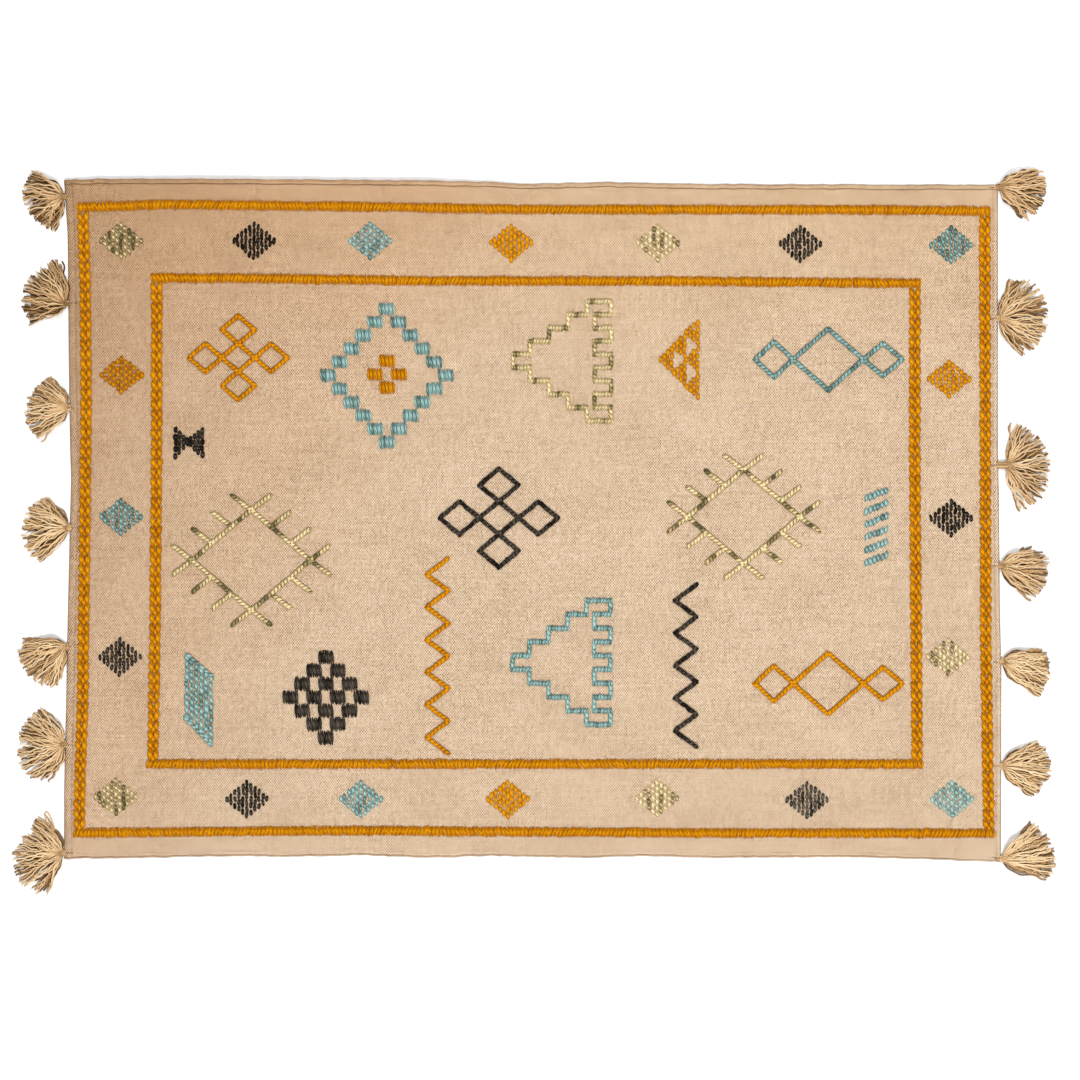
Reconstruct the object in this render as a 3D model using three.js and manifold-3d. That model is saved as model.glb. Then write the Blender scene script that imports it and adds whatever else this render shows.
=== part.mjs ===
// Flat-woven cotton rug, embroidered in thick yarn, with a row of tassels on each short end.
// Millimetres, +Z up. X runs along the rug. The origin is the middle of the cloth's underside.
import * as THREE from 'three';
import { mergeVertices } from 'three/addons/utils/BufferGeometryUtils.js';
import Module from 'manifold-3d';

const wasm = await Module();
wasm.setup();

// Cloth: nominal size, and the raised hems and selvedges round its edges
const CLOTH_HALF_LONG = 808;
const CLOTH_HALF_WIDE = 587;
const CLOTH_THICK = 3;
const HEM_THICK = 4.6;
const LEFT_HEM_WIDE = 13;
const RIGHT_HEM_WIDE = 9;
const SELVEDGE_THICK = 4;
const SELVEDGE_WIDE = 6;
const EDGE_STEP = 1.3;
const EDGE_SHARE = 0.55;
const MARGIN_WIDE = 34;
const MARGIN_MIDDLE = 20;
const CELLS_LONG = 18;
const CELLS_WIDE = 13;

// Embroidery: raised yarn that lies on the cloth
const CLEARANCE = 0.3;
const YARN_HIGH = 2.4;
const YARN_FOOT = CLOTH_THICK + CLEARANCE;
const LINE_WIDE = 7;
const STRAIGHT_TURN = 0.15;
const LOZENGE_CROWN = 0.84;

// Tassels
const HEAD_CLEARANCE = 0.5;
const HEAD_RADIUS = 5.4;
const HEAD_HIGH = 5.2;
const HEAD_FLATNESS = 0.94;
const HEAD_SIDES = 8;
const HEAD_BANDS = 5;
const NECK_RADIUS = 2.2;
const NECK_WIDENING = 2;
const NECK_SIDES = 5;
const NECK_HIGH = 3.2;
const SKIRT_HIGH = 3.4;
const SKIRT_PART = 0.42;
const STRANDS = 13;
const STRAND_SIDES = 3;
const STRAND_RADIUS = 2;
const STRAND_LOW_SIDE = 0.5;
const STRAND_HIGH = 3;
const STRAND_START = 0.3;
const STRAND_BEND = 0.5;
const STRAND_STEPS = 3;
const STRAND_TAPER = 0.35;
const STRAND_SPREAD = 0.75;
const STRAND_UNEVEN = 0.05;
const STRAND_LENGTHS = 3;

// Long edges, from the left end to the right: distance from the middle, and curl above the floor
const UPPER_EDGE = [
  { x: -811, y: 591.6, lift: 2 },
  { x: -749, y: 593.4, lift: 6 },
  { x: -540, y: 592.5, lift: 8 },
  { x: -306, y: 591.6, lift: 6 },
  { x: -176, y: 589.9, lift: 7 },
  { x: -72, y: 588.2, lift: 3 },
  { x: -20, y: 584.7, lift: 0.5 },
  { x: 136, y: 588.2, lift: 0 },
  { x: 292, y: 584.7, lift: 0 },
  { x: 809, y: 583.5, lift: 0 },
];
const LOWER_EDGE = [
  { x: -811, y: -586.4 },
  { x: -671, y: -584.7 },
  { x: -514, y: -581.2 },
  { x: -410, y: -583 },
  { x: -306, y: -579.5 },
  { x: -176, y: -584.7 },
  { x: -72, y: -581.2 },
  { x: 84, y: -584.7 },
  { x: 188, y: -581.2 },
  { x: 292, y: -584.7 },
  { x: 553, y: -583 },
  { x: 815, y: -591.6 },
];

// Short ends, from the lower edge to the upper
const LEFT_END = [
  { y: -586, x: -811.1 },
  { y: -467, x: -811.1 },
  { y: -311, x: -807.6 },
  { y: -137, x: -804.2 },
  { y: 71, x: -799 },
  { y: 123, x: -800.7 },
  { y: 297, x: -803.3 },
  { y: 493, x: -805 },
  { y: 590, x: -811.1 },
];
const RIGHT_END = [
  { y: -592, x: 814.6 },
  { y: -259, x: 815.5 },
  { y: -137, x: 812.8 },
  { y: 54, x: 811.1 },
  { y: 123, x: 809.4 },
  { y: 583, x: 809.4 },
];

// Centre lines of the two border frames, clockwise from the upper left corner
const OUTER_FRAME = [
  { x: -778, y: 543.5 },
  { x: -645, y: 549 },
  { x: -332, y: 545.7 },
  { x: -20, y: 540.5 },
  { x: 605, y: 539.6 },
  { x: 786, y: 537.5 },
  { x: 787.7, y: -206.5 },
  { x: 792, y: -466.7 },
  { x: 793, y: -541.8 },
  { x: 292, y: -541.3 },
  { x: -332, y: -537 },
  { x: -784, y: -541.3 },
  { x: -783.4, y: -466.7 },
  { x: -778, y: -310.6 },
  { x: -773.8, y: 53.8 },
  { x: -772.1, y: 201 },
  { x: -773.8, y: 406 },
];
const INNER_FRAME = [
  { x: -650, y: 421.6 },
  { x: -462, y: 420.7 },
  { x: -176, y: 416.4 },
  { x: 240, y: 416.4 },
  { x: 665, y: 412.1 },
  { x: 664.5, y: 123 },
  { x: 668.8, y: -421.6 },
  { x: -656.7, y: -421.6 },
  { x: -653, y: -206.5 },
  { x: -650, y: 123 },
];
const FRAME_LEVEL_WIDE = 17;
const FRAME_UPRIGHT_WIDE = 20;

// Filled lozenges between the two frames, along each side of the border
const LOZENGE_HALF_LONG = 38.5;
const LOZENGE_HALF_WIDE = 34;
const LOZENGES = [
  { side: 'top', x: -712, y: 486, yarn: 'olive' },
  { side: 'top', x: -481.5, y: 486, yarn: 'black' },
  { side: 'top', x: -280, y: 486, yarn: 'teal' },
  { side: 'top', x: -35.5, y: 482.5, yarn: 'ochre' },
  { side: 'top', x: 219.5, y: 482.5, yarn: 'olive' },
  { side: 'top', x: 466, y: 480.5, yarn: 'black' },
  { side: 'top', x: 728, y: 479, yarn: 'teal' },
  { side: 'bottom', x: -721, y: -479, yarn: 'olive' },
  { side: 'bottom', x: -493.5, y: -482.5, yarn: 'black' },
  { side: 'bottom', x: -296, y: -482.5, yarn: 'teal' },
  { side: 'bottom', x: -41, y: -482.5, yarn: 'ochre' },
  { side: 'bottom', x: 217.5, y: -480.5, yarn: 'olive' },
  { side: 'bottom', x: 478, y: -484, yarn: 'black' },
  { side: 'bottom', x: 729.5, y: -482.5, yarn: 'teal' },
  { side: 'left', x: -710.5, y: 253.5, yarn: 'ochre' },
  { side: 'left', x: -712, y: 7, yarn: 'teal' },
  { side: 'left', x: -714, y: -236, yarn: 'black' },
  { side: 'right', x: 724.5, y: 246.5, yarn: 'ochre' },
  { side: 'right', x: 728, y: 5, yarn: 'black' },
  { side: 'right', x: 722.5, y: -236, yarn: 'olive' },
];

// Tassels, by the end that they hang from. The head stands out from the cloth, and the fan of
// strands opens from one angle to another, measured from straight out. Its reach is given at
// five even steps of that angle.
const TASSELS = [
  { end: 'left', y: 562, out: 6.4, from: -78, to: 42, reach: [62, 57, 65, 69, 69] },
  { end: 'left', y: 378, out: 6.6, from: -27, to: 85, reach: [71, 75, 77, 73, 78] },
  { end: 'left', y: 196, out: 7, from: -51, to: 64, reach: [71, 74, 67, 62, 60] },
  { end: 'left', y: -12, out: 7.6, from: -53, to: 55, reach: [73, 80, 76, 70, 64] },
  { end: 'left', y: -218.5, out: 6.4, from: -81, to: 10, reach: [70, 76, 80, 80, 67] },
  { end: 'left', y: -387, out: 6.6, from: -72, to: 66, reach: [66, 82, 76, 74, 70] },
  { end: 'left', y: -576, out: 7, from: -69, to: 64, reach: [73, 88, 82, 64, 75] },
  { end: 'right', y: 579, out: 6.4, from: -55, to: 31, reach: [64, 76, 78, 78, 63] },
  { end: 'right', y: 352, out: 7.6, from: -62, to: 76, reach: [75, 78, 80, 83, 66] },
  { end: 'right', y: 97, out: 20, from: -76, to: 85, reach: [84, 75, 70, 69, 73] },
  { end: 'right', y: -78, out: 7.4, from: -50, to: 37, reach: [77, 79, 80, 68, 46] },
  { end: 'right', y: -244.5, out: 7.6, from: -46, to: 20, reach: [85, 82, 79, 73, 63] },
  { end: 'right', y: -425, out: 6.6, from: -48, to: 39, reach: [72, 76, 82, 76, 67] },
  { end: 'right', y: -586, out: 6.4, from: -24, to: 51, reach: [82, 91, 85, 82, 80] },
];

const FINISHES = {
  cloth: new THREE.MeshStandardMaterial({ color: '#d7b491', roughness: 0.95, metalness: 0 }),
  tassel: new THREE.MeshStandardMaterial({ color: '#d9bd9c', roughness: 0.9, metalness: 0 }),
  ochre: new THREE.MeshStandardMaterial({ color: '#d7910a', roughness: 0.85, metalness: 0 }),
  teal: new THREE.MeshStandardMaterial({ color: '#6ea5aa', roughness: 0.85, metalness: 0 }),
  black: new THREE.MeshStandardMaterial({ color: '#282624', roughness: 0.85, metalness: 0 }),
  olive: new THREE.MeshStandardMaterial({ color: '#a89c63', roughness: 0.85, metalness: 0 }),
};

const rug = new THREE.Group();

function add(name, geometry, finish) {
  const mesh = new THREE.Mesh(geometry, FINISHES[finish]);
  mesh.name = name;
  rug.add(mesh);
}

// Reads a table of rows at a place along it, straight between its rows.
function read(table, along, place, column) {
  let next = 1;
  while (next < table.length - 1 && table[next][along] < place) next += 1;
  const before = table[next - 1];
  const after = table[next];
  const part = (place - before[along]) / (after[along] - before[along]);
  return THREE.MathUtils.lerp(before[column], after[column], THREE.MathUtils.clamp(part, 0, 1));
}

// Solid joins

function solidOf(geometry) {
  const bare = geometry.clone();
  bare.deleteAttribute('normal');
  bare.deleteAttribute('uv');
  const merged = mergeVertices(bare);
  return new wasm.Manifold(new wasm.Mesh({
    numProp: 3,
    vertProperties: merged.attributes.position.array,
    triVerts: new Uint32Array(merged.index.array),
  }));
}

function fuse(geometries) {
  const joined = geometries.map(solidOf).reduce((whole, piece) => whole.add(piece)).getMesh();
  const geometry = new THREE.BufferGeometry();
  geometry.setAttribute('position', new THREE.BufferAttribute(joined.vertProperties, 3));
  geometry.setIndex(new THREE.BufferAttribute(joined.triVerts, 1));
  geometry.computeVertexNormals();
  return geometry;
}

// The woven cloth, a sheet on a grid of stations that are closer near its edges

function stations(fromLow, fromHigh, cells, half) {
  const inner = half - MARGIN_WIDE;
  const low = fromLow.map((inset) => ({ edge: 'low', inset, at: inset - half }));
  const high = fromHigh.map((inset) => ({ edge: 'high', inset, at: half - inset })).reverse();
  const middle = Array.from({ length: cells - 1 }, (_, index) => {
    const part = (index + 1) / cells;
    return { edge: 'none', part, at: THREE.MathUtils.lerp(-inner, inner, part) };
  });
  return [...low, ...middle, ...high];
}

function placed(station, low, high) {
  if (station.edge === 'low') return low + station.inset;
  if (station.edge === 'high') return high - station.inset;
  return THREE.MathUtils.lerp(low + MARGIN_WIDE, high - MARGIN_WIDE, station.part);
}

function insets(raised) {
  return [0, EDGE_STEP, raised, raised + EDGE_STEP, MARGIN_MIDDLE, MARGIN_WIDE];
}

function thickness(column, row) {
  const hem = column.edge === 'low' ? LEFT_HEM_WIDE : RIGHT_HEM_WIDE;
  const hemmed = column.edge !== 'none' && column.inset <= hem;
  const corded = row.edge !== 'none' && row.inset <= SELVEDGE_WIDE;
  const full = Math.max(CLOTH_THICK, hemmed ? HEM_THICK : 0, corded ? SELVEDGE_THICK : 0);
  return column.inset === 0 || row.inset === 0 ? full * EDGE_SHARE : full;
}

function lift(row, x) {
  if (row.edge !== 'high') return 0;
  const curl = (MARGIN_WIDE - row.inset) / MARGIN_WIDE;
  return read(UPPER_EDGE, 'x', x, 'lift') * curl * curl;
}

function cloth() {
  const columns = stations(insets(LEFT_HEM_WIDE), insets(RIGHT_HEM_WIDE), CELLS_LONG, CLOTH_HALF_LONG);
  const selvedge = insets(SELVEDGE_WIDE);
  const rows = stations(selvedge, selvedge, CELLS_WIDE, CLOTH_HALF_WIDE);
  const sheet = new THREE.BoxGeometry(1, 1, 1, columns.length - 1, rows.length - 1, 1);
  const points = sheet.attributes.position;
  for (let index = 0; index < points.count; index += 1) {
    const column = columns[Math.round((points.getX(index) + 0.5) * (columns.length - 1))];
    const row = rows[Math.round((points.getY(index) + 0.5) * (rows.length - 1))];
    const left = read(LEFT_END, 'y', row.at, 'x');
    const right = read(RIGHT_END, 'y', row.at, 'x');
    const lower = read(LOWER_EDGE, 'x', column.at, 'y');
    const upper = read(UPPER_EDGE, 'x', column.at, 'y');
    const foot = lift(row, column.at);
    const top = points.getZ(index) > 0 ? thickness(column, row) : 0;
    points.setXYZ(index, placed(column, left, right), placed(row, lower, upper), foot + top);
  }
  return sheet;
}

add('ground_cloth', cloth(), 'cloth');

// Lines of stitches: a path is widened to both sides, with mitred corners

function widened(path, wide, side, closed) {
  const count = path.length;
  const half = (from, to) => {
    const level = Math.abs(to.x - from.x) > Math.abs(to.y - from.y);
    return (side * (level ? wide.level : wide.upright)) / 2;
  };
  const normal = (from, to) => {
    const length = Math.hypot(to.x - from.x, to.y - from.y);
    return { x: -(to.y - from.y) / length, y: (to.x - from.x) / length };
  };
  return path.map((point, index) => {
    const isStart = !closed && index === 0;
    const isEnd = !closed && index === count - 1;
    const before = isStart ? point : path[(index - 1 + count) % count];
    const after = isEnd ? point : path[(index + 1) % count];
    const far = half(isStart ? point : before, isStart ? after : point);
    const next = half(isEnd ? before : point, isEnd ? point : after);
    const a = normal(isStart ? point : before, isStart ? after : point);
    const b = normal(isEnd ? before : point, isEnd ? point : after);
    const turn = a.x * b.y - a.y * b.x;
    if (Math.abs(turn) < STRAIGHT_TURN) return new THREE.Vector2(point.x + a.x * far, point.y + a.y * far);
    return new THREE.Vector2(
      point.x + (far * b.y - next * a.y) / turn,
      point.y + (next * a.x - far * b.x) / turn,
    );
  });
}

function raised(shape) {
  const solid = new THREE.ExtrudeGeometry(shape, { depth: YARN_HIGH, bevelEnabled: false });
  return solid.translate(0, 0, YARN_FOOT);
}

function evenly(wide) {
  return { level: wide, upright: wide };
}

function ring(path, wide) {
  const sides = [widened(path, wide, 1, true), widened(path, wide, -1, true)];
  const areas = sides.map((side) => Math.abs(THREE.ShapeUtils.area(side)));
  const outside = areas[0] > areas[1] ? 0 : 1;
  const shape = new THREE.Shape(sides[outside]);
  shape.holes.push(new THREE.Path(sides[1 - outside].reverse()));
  return raised(shape);
}

function line(path, wide) {
  return raised(new THREE.Shape([
    ...widened(path, wide, 1, false),
    ...widened(path, wide, -1, false).reverse(),
  ]));
}

function filled(corners) {
  return raised(new THREE.Shape(corners.map(([x, y]) => new THREE.Vector2(x, y))));
}

function block(x, y, long, wide) {
  return new THREE.BoxGeometry(long, wide, YARN_HIGH).translate(x, y, YARN_FOOT + YARN_HIGH / 2);
}

function lozengePath(x, y, halfLong, halfWide) {
  return [
    { x: x - halfLong, y },
    { x, y: y + halfWide },
    { x: x + halfLong, y },
    { x, y: y - halfWide },
  ];
}

// The double border

const FRAME_WIDE = { level: FRAME_LEVEL_WIDE, upright: FRAME_UPRIGHT_WIDE };
add('border_outer', ring(OUTER_FRAME, FRAME_WIDE), 'ochre');
add('border_inner', ring(INNER_FRAME, FRAME_WIDE), 'ochre');

// The filled lozenges of the border, each crowned by its brick-laid stitches

function filledLozenge() {
  return new THREE.CylinderGeometry(LOZENGE_CROWN, 1, YARN_HIGH, 4)
    .rotateX(Math.PI / 2)
    .scale(LOZENGE_HALF_LONG, LOZENGE_HALF_WIDE, 1);
}

const laid = { top: 0, bottom: 0, left: 0, right: 0 };
for (const { side, x, y, yarn } of LOZENGES) {
  laid[side] += 1;
  const stitched = filledLozenge().translate(x, y, YARN_FOOT + YARN_HIGH / 2);
  add(`lozenge_${side}_${laid[side]}`, stitched, yarn);
}

// Four-loop knots: a small lozenge with one more at each of its corners

function knot(x, y, halfLong, halfWide) {
  const steps = [[0, 0], [-2, 0], [2, 0], [0, 2], [0, -2]];
  return fuse(steps.map(([across, up]) => {
    const path = lozengePath(x + across * halfLong, y + up * halfWide, halfLong, halfWide);
    return ring(path, evenly(LINE_WIDE));
  }));
}

add('knot_ochre', knot(-508.5, 283, 28.5, 24.3), 'ochre');
add('knot_black', knot(-56.5, 5, 34.2, 28.5), 'black');

// Figures built of small satin blocks, each block just overlapping the next

const BLOCK_LONG = 27;
const BLOCK_WIDE = 24.4;
const BLOCK_PITCH_X = 20.5;
const BLOCK_PITCH_Y = 23.2;

function steppedLozenge(x, y, steps) {
  const blocks = [];
  for (let across = -steps; across <= steps; across += 1) {
    const up = steps - Math.abs(across);
    const levels = up === 0 ? [0] : [-up, up];
    for (const level of levels) {
      const place = [x + across * BLOCK_PITCH_X, y + level * BLOCK_PITCH_Y];
      blocks.push(block(...place, BLOCK_LONG, BLOCK_WIDE));
    }
  }
  return fuse(blocks);
}

function checker(x, y, widest) {
  const blocks = [];
  for (let row = 1 - widest; row < widest; row += 1) {
    const count = widest - Math.abs(row);
    for (let place = 0; place < count; place += 1) {
      const across = (2 * place - (count - 1)) * BLOCK_PITCH_X;
      blocks.push(block(x + across, y + row * BLOCK_PITCH_Y, BLOCK_LONG, BLOCK_WIDE));
    }
  }
  return fuse(blocks);
}

add('stepped_teal', steppedLozenge(-250.7, 252.5, 5), 'teal');
add('stepped_cross', steppedLozenge(-250.7, 254.5, 1), 'ochre');
add('checker_black', checker(-356.5, -306, 4), 'black');

// Combs: a stepped triangle whose upright side runs back and forth

const COMB_WALLS = 9;
const COMB_INSETS = [170, 140.5, 107.5, 74.6, 41.6];
const COMB_TOOTH = 28.5;
const COMB_LINE = { level: 9, upright: 6.5 };

function comb(right, top, pitch) {
  const middle = (COMB_WALLS - 1) / 2;
  const path = [];
  for (let wall = 0; wall < COMB_WALLS; wall += 1) {
    const x = right - (wall % 2 === 1 ? COMB_TOOTH : 0);
    path.push({ x, y: top - wall * pitch }, { x, y: top - (wall + 1) * pitch });
  }
  for (let wall = COMB_WALLS - 1; wall >= 0; wall -= 1) {
    const x = right - COMB_INSETS[Math.abs(wall - middle)];
    path.push({ x, y: top - (wall + 1) * pitch }, { x, y: top - wall * pitch });
  }
  return ring(path, COMB_LINE);
}

add('comb_olive', comb(138, 380.8, 23), 'olive');
add('comb_teal', comb(137, -138.1, 23.9), 'teal');

// Six small triangles in three columns, all pointing to the left

const TRIANGLE_LONG = 24;
const TRIANGLE_HALF_WIDE = 22.5;
const TRIANGLE_HALF_TIP = 4;
const TRIANGLE_PITCH_X = 22.6;
const TRIANGLE_PITCH_Y = 47.2;

function triangles(x, y, columns) {
  const pieces = [];
  for (let column = 0; column < columns; column += 1) {
    const tip = x + column * TRIANGLE_PITCH_X;
    for (let row = 0; row <= column; row += 1) {
      const middle = y + (row - column / 2) * TRIANGLE_PITCH_Y;
      pieces.push(filled([
        [tip, middle - TRIANGLE_HALF_TIP],
        [tip + TRIANGLE_LONG, middle - TRIANGLE_HALF_WIDE],
        [tip + TRIANGLE_LONG, middle + TRIANGLE_HALF_WIDE],
        [tip, middle + TRIANGLE_HALF_TIP],
      ]));
    }
  }
  return fuse(pieces);
}

add('triangles_ochre', triangles(221, 280, 3), 'ochre');

// Chains of a small, a big and a small lozenge, corner to corner

const CHAIN_LINKS = [
  { middle: 0, halfLong: 33, halfWide: 31 },
  { middle: 94, halfLong: 61, halfWide: 53 },
  { middle: 189, halfLong: 34, halfWide: 28 },
];

function chain(x, y) {
  return fuse(CHAIN_LINKS.map(({ middle, halfLong, halfWide }) => (
    ring(lozengePath(x + middle, y, halfLong, halfWide), evenly(LINE_WIDE))
  )));
}

add('chain_teal', chain(420.5, 280), 'teal');
add('chain_ochre', chain(420.5, -282), 'ochre');

// Ticked lozenges: short outward bars at the corners and at the thirds of every side

const TICK_ALONG = 33;
const TICK_UP = 25;
const TICKS_A_SIDE = 4;

function tickedLozenge(x, y, halfLong, halfWide) {
  const pieces = [ring(lozengePath(x, y, halfLong, halfWide), evenly(LINE_WIDE))];
  for (const across of [-1, 1]) {
    for (const up of [-1, 1]) {
      for (let tick = 0; tick < TICKS_A_SIDE; tick += 1) {
        const part = tick / (TICKS_A_SIDE - 1);
        const root = { x: x + across * halfLong * part, y: y + up * halfWide * (1 - part) };
        const tip = { x: root.x + across * TICK_ALONG, y: root.y + up * TICK_UP };
        pieces.push(line([root, tip], evenly(LINE_WIDE)));
      }
    }
  }
  return fuse(pieces);
}

add('ticked_left', tickedLozenge(-486, -68, 102.5, 87), 'olive');
add('ticked_right', tickedLozenge(368, 7, 97, 81.5), 'olive');

// Zigzags that run down the field

const ZIGZAG_LONG = 38;
const ZIGZAG_PITCH = 28.2;

function zigzag(x, top, points) {
  const path = Array.from({ length: points }, (_, index) => ({
    x: x - (index % 2 === 1 ? ZIGZAG_LONG : 0),
    y: top - index * ZIGZAG_PITCH,
  }));
  return line(path, evenly(LINE_WIDE));
}

add('zigzag_ochre', zigzag(-144, -65, 13), 'ochre');
add('zigzag_black', zigzag(286.5, -110, 11), 'black');

// Hourglass, slanted parallelogram and the stack of slanted bars

const HOURGLASS = [[-620, 165], [-596, 142], [-568, 165], [-568, 107], [-596, 133.5], [-617, 107]];
const SLANT = [[-598, -230], [-551, -272], [-555, -390], [-604, -336]];
const HATCH_BARS = 6;
const HATCH_LEFT = 577;
const HATCH_LONG = 41.5;
const HATCH_RISE = 16.5;
const HATCH_TOP = 38;
const HATCH_PITCH = 22.4;
const HATCH_WIDE = 12;

add('hourglass_black', filled(HOURGLASS), 'black');
add('slant_teal', filled(SLANT), 'teal');
for (let bar = 0; bar < HATCH_BARS; bar += 1) {
  const y = HATCH_TOP - bar * HATCH_PITCH;
  const path = [{ x: HATCH_LEFT, y }, { x: HATCH_LEFT + HATCH_LONG, y: y + HATCH_RISE }];
  add(`hatch_${bar + 1}`, line(path, evenly(HATCH_WIDE)), 'teal');
}

// Tassels: a tied head with a neck to the hem, and a fan of strands that rest on the floor

function reachAt(reach, part) {
  const place = part * (reach.length - 1);
  const before = Math.min(Math.floor(place), reach.length - 2);
  return THREE.MathUtils.lerp(reach[before], reach[before + 1], place - before);
}

function strand(route) {
  const tube = new THREE.CylinderGeometry(STRAND_RADIUS, STRAND_RADIUS, 1, STRAND_SIDES, STRAND_STEPS);
  const points = tube.attributes.position;
  for (let index = 0; index < points.count; index += 1) {
    const part = THREE.MathUtils.lerp(STRAND_START, 1, points.getY(index) + 0.5);
    const at = route.getPoint(part);
    const ahead = route.getTangent(part);
    const aside = points.getX(index) * (1 - STRAND_TAPER * part);
    const up = (points.getZ(index) / STRAND_RADIUS + STRAND_LOW_SIDE) / (1 + STRAND_LOW_SIDE);
    points.setXYZ(index, at.x + ahead.y * aside, at.y - ahead.x * aside, up * STRAND_HIGH);
  }
  return tube;
}

function skirt(head, routes) {
  const longest = routes.filter((_, index) => index % STRAND_LENGTHS === 0);
  const rim = longest.map((route) => route.getPoint(SKIRT_PART));
  const sides = [routes[0], routes.at(-1)].map((route) => route.getPoint(SKIRT_PART / 2));
  const outline = new THREE.Shape([head, sides[0], ...rim, sides[1]]);
  return new THREE.ExtrudeGeometry(outline, { depth: SKIRT_HIGH, bevelEnabled: false });
}

function tassel({ end, y, out, from, to, reach }) {
  const outward = end === 'left' ? -1 : 1;
  const edge = read(end === 'left' ? LEFT_END : RIGHT_END, 'y', y, 'x');
  const head = new THREE.Vector2(edge + outward * out, y);
  const towards = (degrees, distance) => {
    const angle = THREE.MathUtils.degToRad(degrees);
    return new THREE.Vector2(
      head.x + outward * Math.cos(angle) * distance,
      head.y + Math.sin(angle) * distance,
    );
  };
  const axis = (from + to) / 2;
  const knob = new THREE.SphereGeometry(HEAD_RADIUS, HEAD_SIDES, HEAD_BANDS)
    .rotateZ(THREE.MathUtils.degToRad(axis * outward))
    .scale(1, 1, HEAD_FLATNESS)
    .translate(head.x, head.y, HEAD_HIGH);
  const neckLong = out - HEAD_CLEARANCE;
  const neck = new THREE.CylinderGeometry(NECK_RADIUS, NECK_RADIUS, neckLong, NECK_SIDES)
    .rotateZ(Math.PI / 2)
    .scale(1, NECK_WIDENING, 1)
    .translate(head.x - (outward * neckLong) / 2, head.y, NECK_HIGH);
  const routes = Array.from({ length: STRANDS }, (_, index) => {
    const part = index / (STRANDS - 1);
    const angle = THREE.MathUtils.lerp(from, to, part);
    const far = reachAt(reach, part) * (1 - STRAND_UNEVEN * (index % STRAND_LENGTHS));
    const gathered = THREE.MathUtils.lerp(axis, angle, STRAND_SPREAD);
    return new THREE.QuadraticBezierCurve(head, towards(gathered, far * STRAND_BEND), towards(angle, far));
  });
  return fuse([knob, neck, skirt(head, routes), ...routes.map(strand)]);
}

const hung = { left: 0, right: 0 };
for (const row of TASSELS) {
  hung[row.end] += 1;
  add(`tassel_${row.end}_${hung[row.end]}`, tassel(row), 'tassel');
}

export default rug;
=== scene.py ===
import math
import random

import bpy
import numpy as np
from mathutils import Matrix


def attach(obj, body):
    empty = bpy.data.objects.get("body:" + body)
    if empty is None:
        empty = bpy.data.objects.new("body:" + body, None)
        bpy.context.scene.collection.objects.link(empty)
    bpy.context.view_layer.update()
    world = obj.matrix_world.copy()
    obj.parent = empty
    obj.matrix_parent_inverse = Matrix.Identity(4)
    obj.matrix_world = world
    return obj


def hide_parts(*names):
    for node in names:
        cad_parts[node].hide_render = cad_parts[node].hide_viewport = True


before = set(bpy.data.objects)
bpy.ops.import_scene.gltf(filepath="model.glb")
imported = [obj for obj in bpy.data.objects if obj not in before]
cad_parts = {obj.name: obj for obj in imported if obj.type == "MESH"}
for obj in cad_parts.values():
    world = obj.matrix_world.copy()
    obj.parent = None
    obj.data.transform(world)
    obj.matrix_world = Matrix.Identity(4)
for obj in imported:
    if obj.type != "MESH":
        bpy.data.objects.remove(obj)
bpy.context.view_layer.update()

# Room
# A plain white floor under the rug, a large soft light on its near side and a weak one on its far
# side, pale daylight from all round, and a camera that looks straight down. All in millimetres.
MM = 0.001
FLOOR_HALF = 9000
FLOOR_LOW = -0.3
CAMERA_PLACE = (14.7, -33.0)
CAMERA_LENS = 85.0
SENSOR = 36.0
PHOTO_WIDE = 1873.8
FACE_HIGH = 3
FLOOR_GREYS = (0.96, 0.98)
FLOOR_ROUGH = 0.7
SOFT_LIGHTS = (
    ("near_light", (700, -3600, 5200), 44, (1700, 1100), 282.0),
    ("far_light", (300, 2700, 3400), 0, (1800, 1200), 84.0))
LIGHT_COLOUR = (1.0, 0.98, 0.955)
DAYLIGHT = 0.56
DAYLIGHT_COLOUR = (0.97, 0.985, 1.0, 1)
SOFT_GLOSS = 0.04


def put(tree, kind, inputs=None, **settings):
    """Adds a node to a tree, with its settings and with values or links on its inputs."""
    node = tree.nodes.new(kind)
    for name, value in settings.items():
        setattr(node, name, value)
    for key, value in (inputs or {}).items():
        if isinstance(value, bpy.types.NodeSocket):
            tree.links.new(value, node.inputs[key])
        else:
            node.inputs[key].default_value = value
    return node


def maths(tree, operation, first, second=0.0):
    return put(tree, "ShaderNodeMath", {0: first, 1: second}, operation=operation).outputs[0]


def new_finish(name, roughness):
    material = bpy.data.materials.new(name)
    material.use_nodes = True
    shader = material.node_tree.nodes["Principled BSDF"]
    shader.inputs["Roughness"].default_value = roughness
    shader.inputs["Specular IOR Level"].default_value = SOFT_GLOSS
    return material, material.node_tree, shader


def shown(name, mesh):
    piece = bpy.data.objects.new(name, mesh)
    bpy.context.scene.collection.objects.link(piece)
    return piece


floor_mesh = bpy.data.meshes.new("floor")
floor_corners = [
    (x * FLOOR_HALF * MM, y * FLOOR_HALF * MM, FLOOR_LOW * MM)
    for x, y in ((-1, -1), (1, -1), (1, 1), (-1, 1))]
floor_mesh.from_pydata(floor_corners, [], [(0, 1, 2, 3)])
floor = shown("floor", floor_mesh)
floor_finish, floor_tree, floor_shader = new_finish("white_floor", FLOOR_ROUGH)
floor_noise = put(floor_tree, "ShaderNodeTexNoise", {
    "Vector": put(floor_tree, "ShaderNodeTexCoord").outputs["Object"], "Scale": 3.0, "Detail": 2.0})
floor_ramp = put(floor_tree, "ShaderNodeValToRGB", {"Fac": floor_noise.outputs[0]})
for element, grey in zip(floor_ramp.color_ramp.elements, FLOOR_GREYS):
    element.color = (grey, grey, grey, 1)
floor_tree.links.new(floor_ramp.outputs[0], floor_shader.inputs["Base Color"])
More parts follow.
